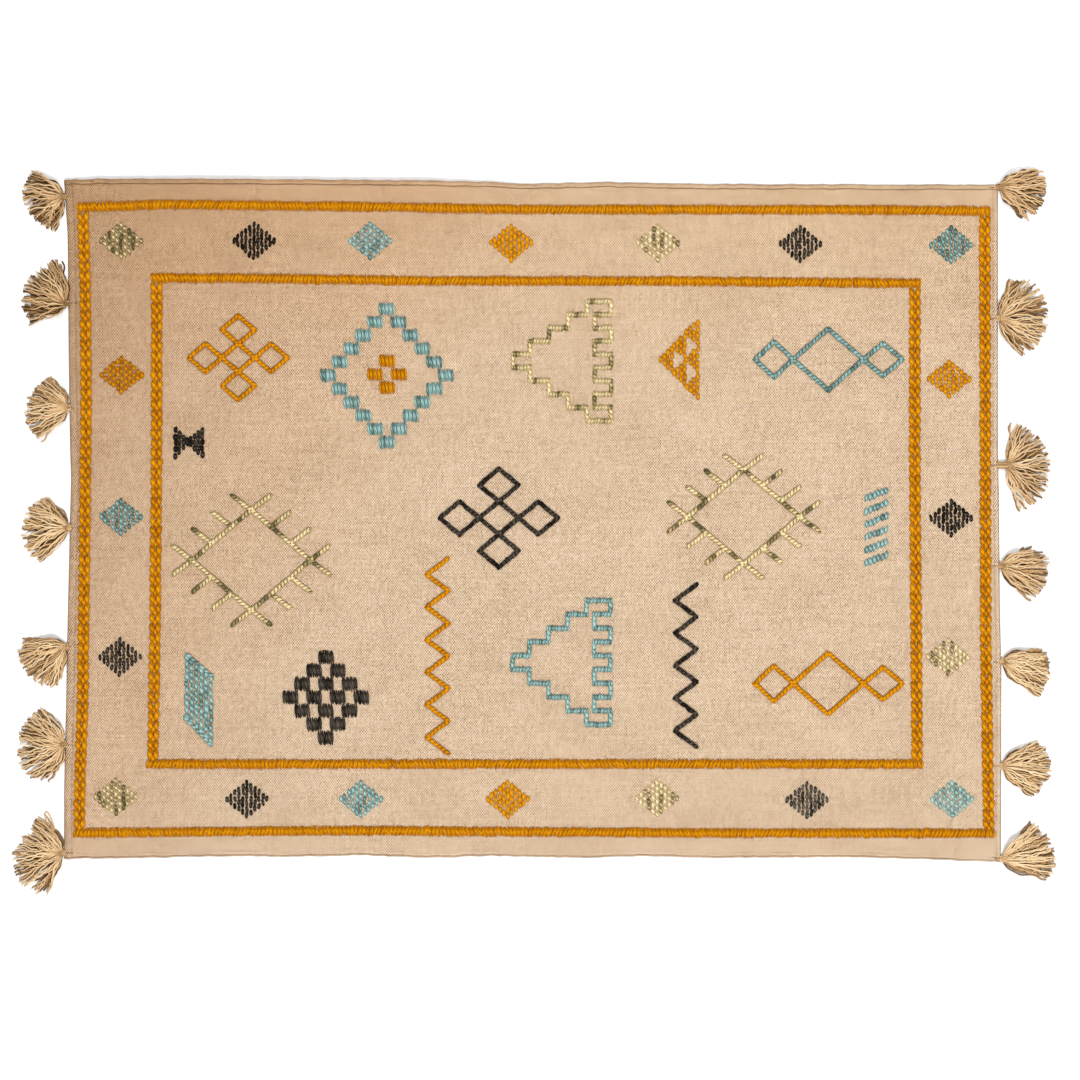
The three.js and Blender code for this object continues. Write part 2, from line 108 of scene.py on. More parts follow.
floor_mesh.materials.append(floor_finish)

scene = bpy.context.scene
scene.view_settings.view_transform = "Standard"
scene.world = bpy.data.worlds.new("daylight")
scene.world.use_nodes = True
sky = scene.world.node_tree.nodes["Background"]
sky.inputs["Color"].default_value = DAYLIGHT_COLOUR
sky.inputs["Strength"].default_value = DAYLIGHT

for light_name, light_place, light_tilt, light_size, light_power in SOFT_LIGHTS:
    light = bpy.data.lights.new(light_name, "AREA")
    light.shape = "RECTANGLE"
    light.size = light_size[0] * MM
    light.size_y = light_size[1] * MM
    light.energy = light_power
    light.color = LIGHT_COLOUR
    light_piece = shown(light_name, light)
    light_piece.location = [value * MM for value in light_place]
    light_piece.rotation_euler = (math.radians(light_tilt), 0, 0)

camera_data = bpy.data.cameras.new("camera")
camera_data.lens = CAMERA_LENS
camera_data.sensor_width = SENSOR
camera = shown("camera", camera_data)
camera_high = PHOTO_WIDE * CAMERA_LENS / SENSOR + FACE_HIGH
camera.location = (CAMERA_PLACE[0] * MM, CAMERA_PLACE[1] * MM, camera_high * MM)
scene.camera = camera

# Ground cloth
# One flat-woven cotton cloth in a melange beige. Its short ends are folded over and sewn down
# as hems, its long edges are corded selvedges, and the upper one curls off the floor.
CLOTH_HALF_LONG = 808
CLOTH_HALF_WIDE = 587
CLOTH_THICK = 3.0
CLOTH_CELL = 8.0
CLOTH_THINNEST = 1.2
WARP_PITCH = 2.1
WEFT_PITCH = 2.6
HEM_STRIPE = 3.3
HEM_STRIPE_WAY = (0.86, -0.5)
THREAD_WANDER = 3.0
WANDER_SCALE = 13.0
HEM_DEEP = {-1: 12.4, 0: 0.0, 1: 8.8}
MARGIN = 34
RAGGED = 0.9
BROAD_PUCKER = 0.34
CLOSE_PUCKER = 0.12
# The edges as (place along, place across), the upper one with how far it curls off the floor
UPPER_EDGE = (
    (-811, 591.6, 2), (-749, 593.4, 6), (-540, 592.5, 8), (-306, 591.6, 6), (-176, 589.9, 7),
    (-72, 588.2, 3), (-20, 584.7, 0.5), (136, 588.2, 0), (292, 584.7, 0), (809, 583.5, 0))
LOWER_EDGE = (
    (-811, -586.4), (-671, -584.7), (-514, -581.2), (-410, -583), (-306, -579.5), (-176, -584.7),
    (-72, -581.2), (84, -584.7), (188, -581.2), (292, -584.7), (553, -583), (815, -591.6))
LEFT_END = (
    (-586, -811.1), (-467, -811.1), (-311, -807.6), (-137, -804.2), (71, -799), (123, -800.7),
    (297, -803.3), (493, -805), (590, -811.1))
RIGHT_END = (
    (-592, 814.6), (-259, 815.5), (-137, 812.8), (54, 811.1), (123, 809.4), (583, 809.4))
# The hems and selvedges from the edge inwards, as (how far in, thickness, how much painted light)
# painted shade on the rolled rims and in the grooves, a painted highlight on the ridges
LEFT_HEM = (
    (0, 1.6, -0.34), (0.9, 3.6, -0.26), (2.4, 4.4, -0.12), (6, 4.6, -0.04), (10.5, 4.6, -0.02),
    (12.4, 4.1, -0.08), (13.2, 2.8, -0.2), (14.6, 2.6, -0.08), (18, 3, 0), (26, 3, 0), (34, 3, 0))
RIGHT_HEM = (
    (0, 1.6, -0.34), (0.9, 3.6, -0.28), (2.4, 4.4, -0.18), (3.3, 4.5, 0.1), (5, 4.5, 0.06), (7.4, 4.3, -0.02),
    (8.8, 2.9, -0.12), (10, 2.6, -0.06), (13, 3, 0), (18, 3, 0), (26, 3, 0), (34, 3, 0))
UPPER_SELVEDGE = (
    (0, 1.3, -0.28), (0.7, 3.0, -0.22), (2.2, 4.1, -0.14), (4.8, 4.2, -0.04), (6.4, 3.8, 0.08),
    (7.3, 3.0, -0.16), (7.7, 2.4, -0.5), (8.8, 2.4, -0.5), (9.3, 2.8, -0.1), (10.4, 3, 0), (16, 3, 0),
    (26, 3, 0), (34, 3, 0))
LOWER_SELVEDGE = (
    (0, 1.3, -0.28), (0.7, 3.0, -0.18), (1.9, 3.5, -0.08), (2.6, 2.9, -0.3), (3.3, 2.4, -0.42),
    (4.2, 2.9, 0.06), (5.2, 3.1, 0.12), (6.6, 3, 0), (7.8, 3, 0), (8.6, 2.8, -0.12), (9.4, 3, 0),
    (16, 3, 0), (26, 3, 0), (34, 3, 0))
CLOTH_ROUGH = 0.92
WEAVE_BUMP = 0.5
LIGHT_SPECK_RARE = 12.0
DARK_SPECK_RARE = 16.0
WEAVE_TONES = (
    (0.0, (0.12, 0.07, 0.04)), (0.12, (0.30, 0.20, 0.125)), (0.3, (0.44, 0.31, 0.204)),
    (0.5, (0.565, 0.414, 0.287)), (0.75, (0.70, 0.54, 0.404)), (1.0, (0.83, 0.70, 0.575)))
# Shades laid over the weave: random blotches of the cloth's own tone, then painted shade, darker and warmer
# towards the upper left corner and darker towards the upper edge
BLUSHES = ((0.0, (1.0, 0.965, 1.0)), (1.0, (1.0, 1.02, 0.91)))
CORNER_SHADE_WAY = (-0.85, 0.47)
CORNER_PAINTED_SHADE = (
    (0.2, (1.0, 1.0, 1.0)), (0.42, (0.945, 0.885, 0.84)), (0.56, (0.914, 0.85, 0.795)),
    (0.75, (0.83, 0.735, 0.655)), (0.88, (0.76, 0.68, 0.595)))
UPPER_SHADE_WAY = (0.0, 1.6)
UPPER_PAINTED_SHADE = ((0.4, (1.0, 1.0, 1.0)), (0.9, (0.965, 0.91, 0.835)))


def reading(table, place, column=1):
    return np.interp(place, [row[0] for row in table], [row[column] for row in table])


def pucker(x, y):
    """How far the woven face stands over or under its even height, drawn by the embroidery."""
    broad = np.sin(x / 47 + 1.3 * np.sin(y / 83)) * np.sin(y / 39 + 0.8 * np.sin(x / 71))
    close = np.sin(x / 15.1 + y / 27.3) * np.sin(y / 12.7 - x / 33.1)
    return BROAD_PUCKER * broad + CLOSE_PUCKER * close


def store(mesh, name, values, kind="FLOAT", field="value"):
    mesh.attributes.new(name, kind, "POINT").data.foreach_set(field, values)


def stations(half, low_profile, high_profile):
    """Grid lines across the cloth: side, how far in or along, nominal place, thickness, painted edge light.
    """
    inner = half - MARGIN
    cells = round(2 * inner / CLOTH_CELL)
    low = [(-1, inset, inset - half, thick, painted_edge_light) for inset, thick, painted_edge_light in low_profile]
    middle = [
        (0, part / cells, -inner + 2 * inner * part / cells, CLOTH_THICK, 0.0) for part in range(1, cells)]
    high = [(1, inset, half - inset, thick, painted_edge_light) for inset, thick, painted_edge_light in reversed(high_profile)]
    return low + middle + high


def placed(station, low, high):
    side, value = station[:2]
    if side < 0:
        return low + value
    if side > 0:
        return high - value
    return low + MARGIN + value * (high - low - 2 * MARGIN)


def cloth_mesh():
    columns = stations(CLOTH_HALF_LONG, LEFT_HEM, RIGHT_HEM)
    rows = stations(CLOTH_HALF_WIDE, LOWER_SELVEDGE, UPPER_SELVEDGE)
    wide, high = len(columns), len(rows)
    dice = random.Random(7)
    ragged = [(dice.uniform(-RAGGED, RAGGED), dice.uniform(-RAGGED, RAGGED)) for _ in columns]
    top, under, hem, painted_edge_light = [], [], [], []
    for row in rows:
        left, right = reading(LEFT_END, row[2]), reading(RIGHT_END, row[2])
        for column, (low_jog, high_jog) in zip(columns, ragged):
            lower = reading(LOWER_EDGE, column[2]) + low_jog
            upper = reading(UPPER_EDGE, column[2]) + high_jog
            x, y = placed(column, left, right), placed(row, lower, upper)
            curl = ((MARGIN - row[1]) / MARGIN) ** 2 if row[0] > 0 else 0
            foot = curl * reading(UPPER_EDGE, column[2], 2)
            thick = max(CLOTH_THINNEST, column[3] + row[3] - CLOTH_THICK)
            top.append((x * MM, y * MM, (foot + thick + pucker(x, y)) * MM))
            under.append((x * MM, y * MM, foot * MM))
            hem.append(1.0 if column[1] < HEM_DEEP[column[0]] else 0.0)
            # Where a hem meets a selvedge, the darker painted shade wins, else the stronger painted highlight
            darkest = min(column[4], row[4])
            painted_edge_light.append(darkest if darkest < 0 else max(column[4], row[4]))
    count = wide * high
    faces = []
    for j in range(high - 1):
        for i in range(wide - 1):
            a, b, c, d = j * wide + i, j * wide + i + 1, (j + 1) * wide + i + 1, (j + 1) * wide + i
            faces.append((a, b, c, d))
            faces.append((a + count, d + count, c + count, b + count))
    rim = list(range(wide))
    rim += [j * wide + wide - 1 for j in range(1, high)]
    rim += [(high - 1) * wide + i for i in range(wide - 2, -1, -1)]
    rim += [j * wide for j in range(high - 2, 0, -1)]
    for start, end in zip(rim, rim[1:] + rim[:1]):
        faces.append((start, start + count, end + count, end))
    mesh = bpy.data.meshes.new("ground_cloth")
    mesh.from_pydata(top + under, [], faces)
    store(mesh, "hem", hem + hem)
    store(mesh, "painted_edge_light", painted_edge_light + painted_edge_light)
    mesh.shade_smooth()
    return mesh


def ramped(tree, factor, stops):
    ramp = put(tree, "ShaderNodeValToRGB", {"Fac": factor})
    elements = ramp.color_ramp.elements
    while len(elements) < len(stops):
        elements.new(0.5)
    for element, (place, colour) in zip(elements, stops):
        element.position = place
        element.color = (*colour, 1)
    return ramp.outputs[0]


def cloth_finish():
    """Plain weave of melange yarn: every float has its own tone, every thread a slow drift."""
    material, tree, shader = new_finish("melange_cotton", CLOTH_ROUGH)
    here = put(tree, "ShaderNodeTexCoord").outputs["Object"]
    wander = put(tree, "ShaderNodeTexNoise", {"Vector": here, "Scale": WANDER_SCALE, "Detail": 2.0})
    centring = {0: wander.outputs["Color"], 1: (0.5, 0.5, 0.5)}
    centred = put(tree, "ShaderNodeVectorMath", centring, operation="SUBTRACT")
    sizing = {0: centred.outputs[0], 3: THREAD_WANDER * MM}
    small = put(tree, "ShaderNodeVectorMath", sizing, operation="SCALE")
    threads = put(tree, "ShaderNodeVectorMath", {0: here, 1: small.outputs[0]}, operation="ADD").outputs[0]
    place = put(tree, "ShaderNodeSeparateXYZ", {0: threads})
    x, y = place.outputs[0], place.outputs[1]

    def towards(way):
        return maths(tree, "ADD", maths(tree, "MULTIPLY", x, way[0]), maths(tree, "MULTIPLY", y, way[1]))

    warp, weft = maths(tree, "DIVIDE", x, WARP_PITCH * MM), maths(tree, "DIVIDE", y, WEFT_PITCH * MM)
    warp_wave = maths(tree, "SINE", maths(tree, "MULTIPLY", warp, math.pi))
    weft_wave = maths(tree, "SINE", maths(tree, "MULTIPLY", weft, math.pi))
    plain = maths(tree, "MULTIPLY", warp_wave, weft_wave)
    stripes = maths(tree, "MULTIPLY", towards(HEM_STRIPE_WAY), math.tau / (HEM_STRIPE * MM))
    twill = maths(tree, "SINE", stripes)
    hem = put(tree, "ShaderNodeAttribute", attribute_name="hem").outputs["Fac"]
    weave = put(tree, "ShaderNodeMix", {0: hem, 2: plain, 3: twill}, data_type="FLOAT").outputs[0]

    floats = put(tree, "ShaderNodeCombineXYZ", {0: maths(tree, "FLOOR", warp), 1: maths(tree, "FLOOR", weft)})
    noise = put(tree, "ShaderNodeTexWhiteNoise", {"Vector": floats.outputs[0]}, noise_dimensions="2D")
    speck = noise.outputs["Value"]
    light_speck = maths(tree, "POWER", speck, LIGHT_SPECK_RARE)
    dark_speck = maths(tree, "POWER", maths(tree, "SUBTRACT", 1.0, speck), DARK_SPECK_RARE)

    def drifting(across_scale, up_scale, detail):
        scales = {0: threads, 1: (across_scale, up_scale, 1.0)}
        scaled = put(tree, "ShaderNodeVectorMath", scales, operation="MULTIPLY")
        drift = put(tree, "ShaderNodeTexNoise", {"Vector": scaled.outputs[0], "Scale": 1.0, "Detail": detail})
        return maths(tree, "SUBTRACT", drift.outputs[0], 0.5)

    # The drifts run along the wefts, along the warps, over a few floats and over ever broader patches
    # The tone starts from the painted shade and painted highlights of the hems and selvedges
    tone = put(tree, "ShaderNodeAttribute", attribute_name="painted_edge_light").outputs["Fac"]
    for part, share in (
            (weave, 0.42), (maths(tree, "SUBTRACT", speck, 0.5), 0.2), (light_speck, 0.14),
            (dark_speck, -0.12), (drifting(9.0, 300.0, 1.0), 0.26), (drifting(480.0, 20.0, 1.0), 0.26),
            (drifting(250.0, 230.0, 2.0), 0.24), (drifting(60.0, 60.0, 3.0), 0.12),
            (drifting(7.0, 9.0, 3.0), 0.22)):
        tone = maths(tree, "ADD", tone, maths(tree, "MULTIPLY", part, share))
    tone = maths(tree, "ADD", tone, 0.5)
    colour = ramped(tree, tone, WEAVE_TONES)
    blush = maths(tree, "ADD", maths(tree, "MULTIPLY", drifting(190.0, 190.0, 2.0), 3.2), 0.5)
    # Random blotches, then painted shade towards the upper left corner and towards the upper edge
    for factor, stops in (
            (blush, BLUSHES), (towards(CORNER_SHADE_WAY), CORNER_PAINTED_SHADE), (towards(UPPER_SHADE_WAY), UPPER_PAINTED_SHADE)):
        shades = {0: 1.0, 6: colour, 7: ramped(tree, factor, stops)}
        colour = put(tree, "ShaderNodeMix", shades, data_type="RGBA", blend_type="MULTIPLY").outputs[2]
    tree.links.new(colour, shader.inputs["Base Color"])
    crown = maths(tree, "MULTIPLY", maths(tree, "ABSOLUTE", warp_wave), maths(tree, "ABSOLUTE", weft_wave))
    height = maths(tree, "ADD", maths(tree, "ADD", crown, maths(tree, "MULTIPLY", weave, 0.6)), speck)
    bump = put(tree, "ShaderNodeBump", {"Strength": 0.5, "Distance": WEAVE_BUMP * MM, "Height": height})
    tree.links.new(bump.outputs[0], shader.inputs["Normal"])
    return material


cloth = shown("woven_cloth", cloth_mesh())
cloth.data.materials.append(cloth_finish())
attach(cloth, "root")
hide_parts("ground_cloth")

# Border frames
# Two oblong frames in thick ochre yarn. The level sides are close slanted satin stitches, and
# the upright sides are chain stitch, each link a ring of two fat lobes tied to the next.
LEVEL_PITCH = 6.7
LEVEL_WIDE = 17.4
# The middle line of each side, as corners
OUTER_FRAME = {
    "top": ((-788, 543.9), (-645, 549), (-332, 545.7), (-20, 540.5), (605, 539.6), (796, 537.5)),
    "right": ((786, 537.5), (787.7, -206.5), (792, -466.7), (793, -541.8)),
    "bottom": ((803, -541.8), (292, -541.3), (-332, -537), (-794, -541.3)),
    "left": ((-784, -541.3), (-783.4, -466.7), (-778, -310.6), (-773.8, 53.8), (-772.1, 201),
             (-773.8, 406), (-778, 543.5)),
}
INNER_FRAME = {
    "top": ((-660, 421.6), (-462, 420.7), (-176, 416.4), (240, 416.4), (675, 412.1)),
    "right": ((665, 412.1), (664.5, 123), (668.8, -421.6)),
    "bottom": ((679, -421.6), (-667, -421.6)),
    "left": ((-656.7, -421.6), (-653, -206.5), (-650, 123), (-650, 421.6)),
}
LEVEL_YARN_WIDE = 7.4
LEVEL_YARN_HIGH = 5.0
LEVEL_SPLAY = 7.0
TIE_SHARE = 0.8
TIE_TURN = 24
TIE_UP = 0.9
LINK_PITCH = 16.9
LINK_HIGH = 5.2
LOBE_LONG = 17.6
LOBE_WIDE = 9.5
LOBE_OUT = 5.3
LOBE_TILT = 9.0
STEM_LONG = 12.6
STEM_WIDE = 6.6
STEM_DROP = 6.2
STEM_UP = 0.9
CORNER_TRIM = 8.0
YARN_RISE = 0.62
YARN_SINK = -0.12
YARN_TIP = 0.44
YARN_ROUGH = 0.85
YARN_FIBRES = 420.0
YARN_TWIST = 1.6
YARN_BUMP = 0.8
ENDS_PAINTED_SHADE = 3.0
GROOVE_PAINTED_SHADE = 0.46
PAIR_OUT = 0.17
STITCH_SIDES = 6
STITCH_STEPS = 5
STRAIGHT, BOWED = range(2)
STITCH_BOWS = (0.0, 0.22)


def new_tree(name, **inputs):
    """A Geometry Nodes tree that works on a mesh, with its named inputs and the values they give."""
    tree = bpy.data.node_groups.new(name, "GeometryNodeTree")
    for socket, kind in (("Geometry", "Geometry"), *inputs.items()):
        tree.interface.new_socket(socket, in_out="INPUT", socket_type="NodeSocket" + kind)
    tree.interface.new_socket("Geometry", in_out="OUTPUT", socket_type="NodeSocketGeometry")
    return tree, tree.nodes.new("NodeGroupInput").outputs


def round_yarn(tree, line, along, sides, radius, thick):
    """A smooth closed tube on a line, marked with how far along and around it each point is."""
    def marked(curve, name, value):
        marks = {"Geometry": curve, "Name": name, "Value": value}
        node = put(tree, "GeometryNodeStoreNamedAttribute", marks, data_type="FLOAT", domain="POINT")
        return node.outputs[0]

    ring = put(tree, "GeometryNodeCurvePrimitiveCircle", {"Resolution": sides, "Radius": radius})
    ring_part = put(tree, "GeometryNodeSplineParameter").outputs["Factor"]
    tube = put(tree, "GeometryNodeCurveToMesh", {
        "Curve": marked(line, "along", along), "Scale": thick, "Fill Caps": True,
        "Profile Curve": marked(ring.outputs[0], "around", ring_part)})
    smooth = put(tree, "GeometryNodeSetShadeSmooth", {"Geometry": tube.outputs[0], "Shade Smooth": True})
    return smooth.outputs[0]


def stitch_tree():
    """Lays one bowed yarn on every point, turned, sized and shaped by the point's own values."""
    tree, given = new_tree(
        "laid_stitches", Rise="Float", Sink="Float", Sides="Int", Steps="Int", Tip="Float", Yarn="Material")
    part = put(tree, "GeometryNodeSplineParameter").outputs["Factor"]
    left_part = maths(tree, "SUBTRACT", 1.0, part)
    swell = maths(tree, "SQRT", maths(tree, "MULTIPLY", maths(tree, "MULTIPLY", part, left_part), 4.0))
    round_part = maths(tree, "MULTIPLY", swell, maths(tree, "SUBTRACT", 1.0, given["Tip"]))
    radius = maths(tree, "ADD", round_part, given["Tip"])
    line = put(tree, "GeometryNodeCurvePrimitiveLine", {"Start": (-0.5, 0.0, 0.0), "End": (0.5, 0.0, 0.0)})
    points = put(tree, "GeometryNodeResampleCurve", {
        "Curve": line.outputs[0], "Count": maths(tree, "ADD", given["Steps"], 1.0)})
    yarn = round_yarn(tree, points.outputs[0], part, given["Sides"], 0.5, radius)

    def named(name, kind):
        node = put(tree, "GeometryNodeInputNamedAttribute", {"Name": name}, data_type=kind)
        return node.outputs["Attribute"]

    along = named("along", "FLOAT")
    arch = maths(tree, "MULTIPLY", maths(tree, "MULTIPLY", along, maths(tree, "SUBTRACT", 1.0, along)), 4.0)
    lift = maths(tree, "ADD", maths(tree, "MULTIPLY", arch, given["Rise"]), given["Sink"])
    forms = tree.nodes.new("GeometryNodeJoinGeometry")
    for bow in reversed(STITCH_BOWS):
        shift = put(tree, "ShaderNodeCombineXYZ", {1: maths(tree, "MULTIPLY", arch, bow), 2: lift})
        bent = put(tree, "GeometryNodeSetPosition", {"Geometry": yarn, "Offset": shift.outputs[0]})
        form = put(tree, "GeometryNodeGeometryToInstance", {"Geometry": bent.outputs[0]})
        tree.links.new(form.outputs[0], forms.inputs[0])

    spin = put(tree, "ShaderNodeCombineXYZ", {2: named("turn", "FLOAT")})
    laid = put(tree, "GeometryNodeInstanceOnPoints", {
        "Points": given["Geometry"], "Instance": forms.outputs[0], "Pick Instance": True,
        "Instance Index": named("form", "INT"), "Rotation": spin.outputs[0],
        "Scale": named("size", "FLOAT_VECTOR")})
    real = put(tree, "GeometryNodeRealizeInstances", {"Geometry": laid.outputs[0]})
    dyed = put(tree, "GeometryNodeSetMaterial", {"Geometry": real.outputs[0], "Material": given["Yarn"]})
    put(tree, "NodeGroupOutput", {0: dyed.outputs[0]})
    return tree


def plain_mesh(name, source, tree, values):
    """Runs a node tree on a mesh and returns the result as a plain mesh."""
    holder = shown(name, source)
    modifier = holder.modifiers.new("making", "NODES")
    modifier.node_group = tree
    for item in tree.interface.items_tree:
        if item.in_out == "INPUT" and item.name in values:
            modifier[item.identifier] = values[item.name]
    evaluated = holder.evaluated_get(bpy.context.evaluated_depsgraph_get())
    made = bpy.data.meshes.new_from_object(evaluated)
    bpy.data.objects.remove(holder)
    return made


def twisted_yarn(name, rough, fibre_scale, twist, deep):
    """A new finish of fine fibres and two plies that turn round the yarn, with its tone so far."""
    material, tree, shader = new_finish(name, rough)
    here = put(tree, "ShaderNodeTexCoord").outputs["Object"]
    fibres = put(tree, "ShaderNodeTexNoise", {"Vector": here, "Scale": fibre_scale, "Detail": 3.0}).outputs[0]
    tone, along, around = (
        put(tree, "ShaderNodeAttribute", attribute_name=mark).outputs["Fac"]
        for mark in ("tone", "along", "around"))
    tone = maths(tree, "ADD", tone, maths(tree, "MULTIPLY", maths(tree, "SUBTRACT", fibres, 0.5), 0.5))
    wound = maths(tree, "ADD", maths(tree, "MULTIPLY", around, 2.0), maths(tree, "MULTIPLY", along, twist))
    plies = maths(tree, "SINE", maths(tree, "MULTIPLY", wound, math.tau))
    height = maths(tree, "ADD", plies, fibres)
    bump = put(tree, "ShaderNodeBump", {"Strength": 0.6, "Distance": deep * MM, "Height": height})
    tree.links.new(bump.outputs[0], shader.inputs["Normal"])
    return material, tree, shader, tone, along, plies


def yarn_finish(name, stops):
    """Embroidery yarn: painted shade at both ends of a stitch, and in the groove between its plies."""
    material, tree, shader, tone, along, plies = twisted_yarn(
        name, YARN_ROUGH, YARN_FIBRES, YARN_TWIST, YARN_BUMP)
    # Painted shade where the stitch dips into the cloth, and in the grooves between the plies
    ends = maths(tree, "POWER", maths(tree, "ABSOLUTE", maths(tree, "SUBTRACT", along, 0.5)), 4.0)
    tone = maths(tree, "SUBTRACT", tone, maths(tree, "MULTIPLY", ends, ENDS_PAINTED_SHADE))
    groove_shade = maths(tree, "POWER", maths(tree, "MULTIPLY", maths(tree, "SUBTRACT", 1.0, plies), 0.5), 3.0)
    tone = maths(tree, "SUBTRACT", tone, maths(tree, "MULTIPLY", groove_shade, GROOVE_PAINTED_SHADE))
    tree.links.new(ramped(tree, tone, stops), shader.inputs["Base Color"])
    return material


STITCHES = stitch_tree()
OCHRE = {
    "slot": "yarn_ochre", "change": 0.7, "spread": 0.08,
    "finish": yarn_finish("ochre_yarn", (
        (0.0, (0.32, 0.10, 0.001)), (0.3, (0.56, 0.205, 0.002)), (0.55, (0.70, 0.29, 0.003)),
        (0.9, (0.79, 0.355, 0.007)))),
}


def sew(name, stitches, yarn, node, light=0.5):
    """Turns a list of stitches (x, y, turn, long, wide, high, form, up) into a sewn piece."""
    dice = random.Random(sum(map(ord, name)))
    phase = dice.uniform(0, math.tau)
    tones = []
    for _ in stitches:
        phase += yarn["change"] * dice.uniform(0.2, 1.8)
        darker_part = max(0.0, math.sin(phase)) ** 3
        tones.append(light + yarn["spread"] * (0.4 - 2 * darker_part) + dice.uniform(-0.09, 0.09))
    points = [
        (x * MM, y * MM, (CLOTH_THICK + float(pucker(x, y)) + 0.5 * high * (1 - YARN_RISE) + up) * MM)
        for x, y, turn, long, wide, high, form, up in stitches]
    mesh = bpy.data.meshes.new(name)
    mesh.from_pydata(points, [], [])
    sizes = [value * MM for s in stitches for value in (s[3], s[4], s[5])]
    store(mesh, "turn", [s[2] for s in stitches])
    store(mesh, "size", sizes, "FLOAT_VECTOR", "vector")
    store(mesh, "form", [s[6] for s in stitches], "INT")
    store(mesh, "tone", tones)
    made = plain_mesh(name, mesh, STITCHES, {
        "Rise": YARN_RISE, "Sink": YARN_SINK, "Sides": STITCH_SIDES, "Steps": STITCH_STEPS,
        "Tip": YARN_TIP, "Yarn": yarn["finish"]})
    piece = shown(name, made)
    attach(piece, "root")
    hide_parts(node)


def walk(path, pitch, trim=0.0):
    """Places at even steps along a path, each with the direction of the path there."""
    corners = np.array(path, dtype=float)
    lengths = np.hypot(*np.diff(corners, axis=0).T)
    ends = np.concatenate(([0], np.cumsum(lengths)))
    room = ends[-1] - 2 * trim
    count = max(1, round(room / pitch))
    for index in range(count):
        place = trim + (index + 0.5) * room / count
        leg = min(int(np.searchsorted(ends, place, side="right")) - 1, len(lengths) - 1)
        part = (place - ends[leg]) / lengths[leg]
        x, y = corners[leg] + part * (corners[leg + 1] - corners[leg])
        way = corners[leg + 1] - corners[leg]
        yield float(x), float(y), math.atan2(way[1], way[0])


def laid_pair(x, y, turn, long, wide, high, dice, splay=2.5):
    """One satin stitch: two yarns side by side that come together at both ends."""
    return [
        (x + side * math.sin(turn) * wide * PAIR_OUT, y - side * math.cos(turn) * wide * PAIR_OUT,
         turn + (math.pi if side > 0 else 0.0) + math.radians(dice.uniform(-splay, splay)),
         long * dice.uniform(0.95, 1.04), wide * dice.uniform(0.5, 0.58), high * dice.uniform(0.92, 1.1),
         BOWED, dice.uniform(-0.15, 0.15))
        for side in (-1, 1)]


def satin(path, pitch, wide, yarn_wide, yarn_high, dice, lean=6.0, wave=23.0, splay=2.5, tie=0.0):
    """Close stitches across a level line that lean slowly to and fro, some with a short one over them."""
    stitches = []
    phase = dice.uniform(0, math.tau)
    for x, y, _ in walk(path, pitch):
        phase += dice.uniform(0.03, 0.24)
        leaning = math.radians(lean + wave * math.sin(phase) + dice.uniform(-4, 4))
        stitches += laid_pair(
            x + dice.uniform(-0.4, 0.4), y + dice.uniform(-0.7, 0.7), math.pi / 2 - leaning,
            wide * dice.uniform(0.97, 1.1), yarn_wide * dice.uniform(0.94, 1.08), yarn_high, dice, splay)
        if dice.random() < tie:
            stitches.append((
                x + dice.uniform(-1.5, 1.5), y + wide * dice.uniform(-0.16, 0.16),
                math.pi / 2 - leaning * 0.4
                - math.radians(dice.choice((-TIE_TURN, TIE_TURN)) + dice.uniform(-8, 8)),
                wide * dice.uniform(0.48, 0.62), yarn_wide * 0.48, yarn_high * 0.8, STRAIGHT, TIE_UP))
    return stitches


def chain_stitch(path, dice):
    """Hearts of two fat lobes, each closed below by the stem that leads to the next."""
    stitches = []
    for x, y, _ in walk(path, LINK_PITCH, CORNER_TRIM):
        for side in (-1, 1):
            stitches.append((
                x + side * LOBE_OUT * dice.uniform(0.93, 1.07), y + dice.uniform(-0.6, 0.6),
                math.radians(90 - side * LOBE_TILT + dice.uniform(-6, 6)),
                LOBE_LONG * dice.uniform(0.96, 1.05), LOBE_WIDE * dice.uniform(0.93, 1.07), LINK_HIGH,
                STRAIGHT, 0.0))
        stitches.append((
            x + dice.uniform(-0.5, 0.5), y - STEM_DROP, math.radians(90 + dice.uniform(-9, 9)),
            STEM_LONG * dice.uniform(0.92, 1.1), STEM_WIDE * dice.uniform(0.9, 1.1), LINK_HIGH,
            STRAIGHT, STEM_UP))
    return stitches


for frame_name, sides, node in (
        ("outer_border", OUTER_FRAME, "border_outer"), ("inner_border", INNER_FRAME, "border_inner")):
    dice = random.Random(len(frame_name) + 40 + ord(frame_name[0]))
    sewn = []
    for side in ("top", "bottom"):
        sewn += satin(
            sides[side], LEVEL_PITCH, LEVEL_WIDE, LEVEL_YARN_WIDE, LEVEL_YARN_HIGH, dice,
            splay=LEVEL_SPLAY, tie=TIE_SHARE)
    for side in ("left", "right"):
        sewn += chain_stitch(sides[side], dice)
    sew(frame_name, sewn, OCHRE, node)

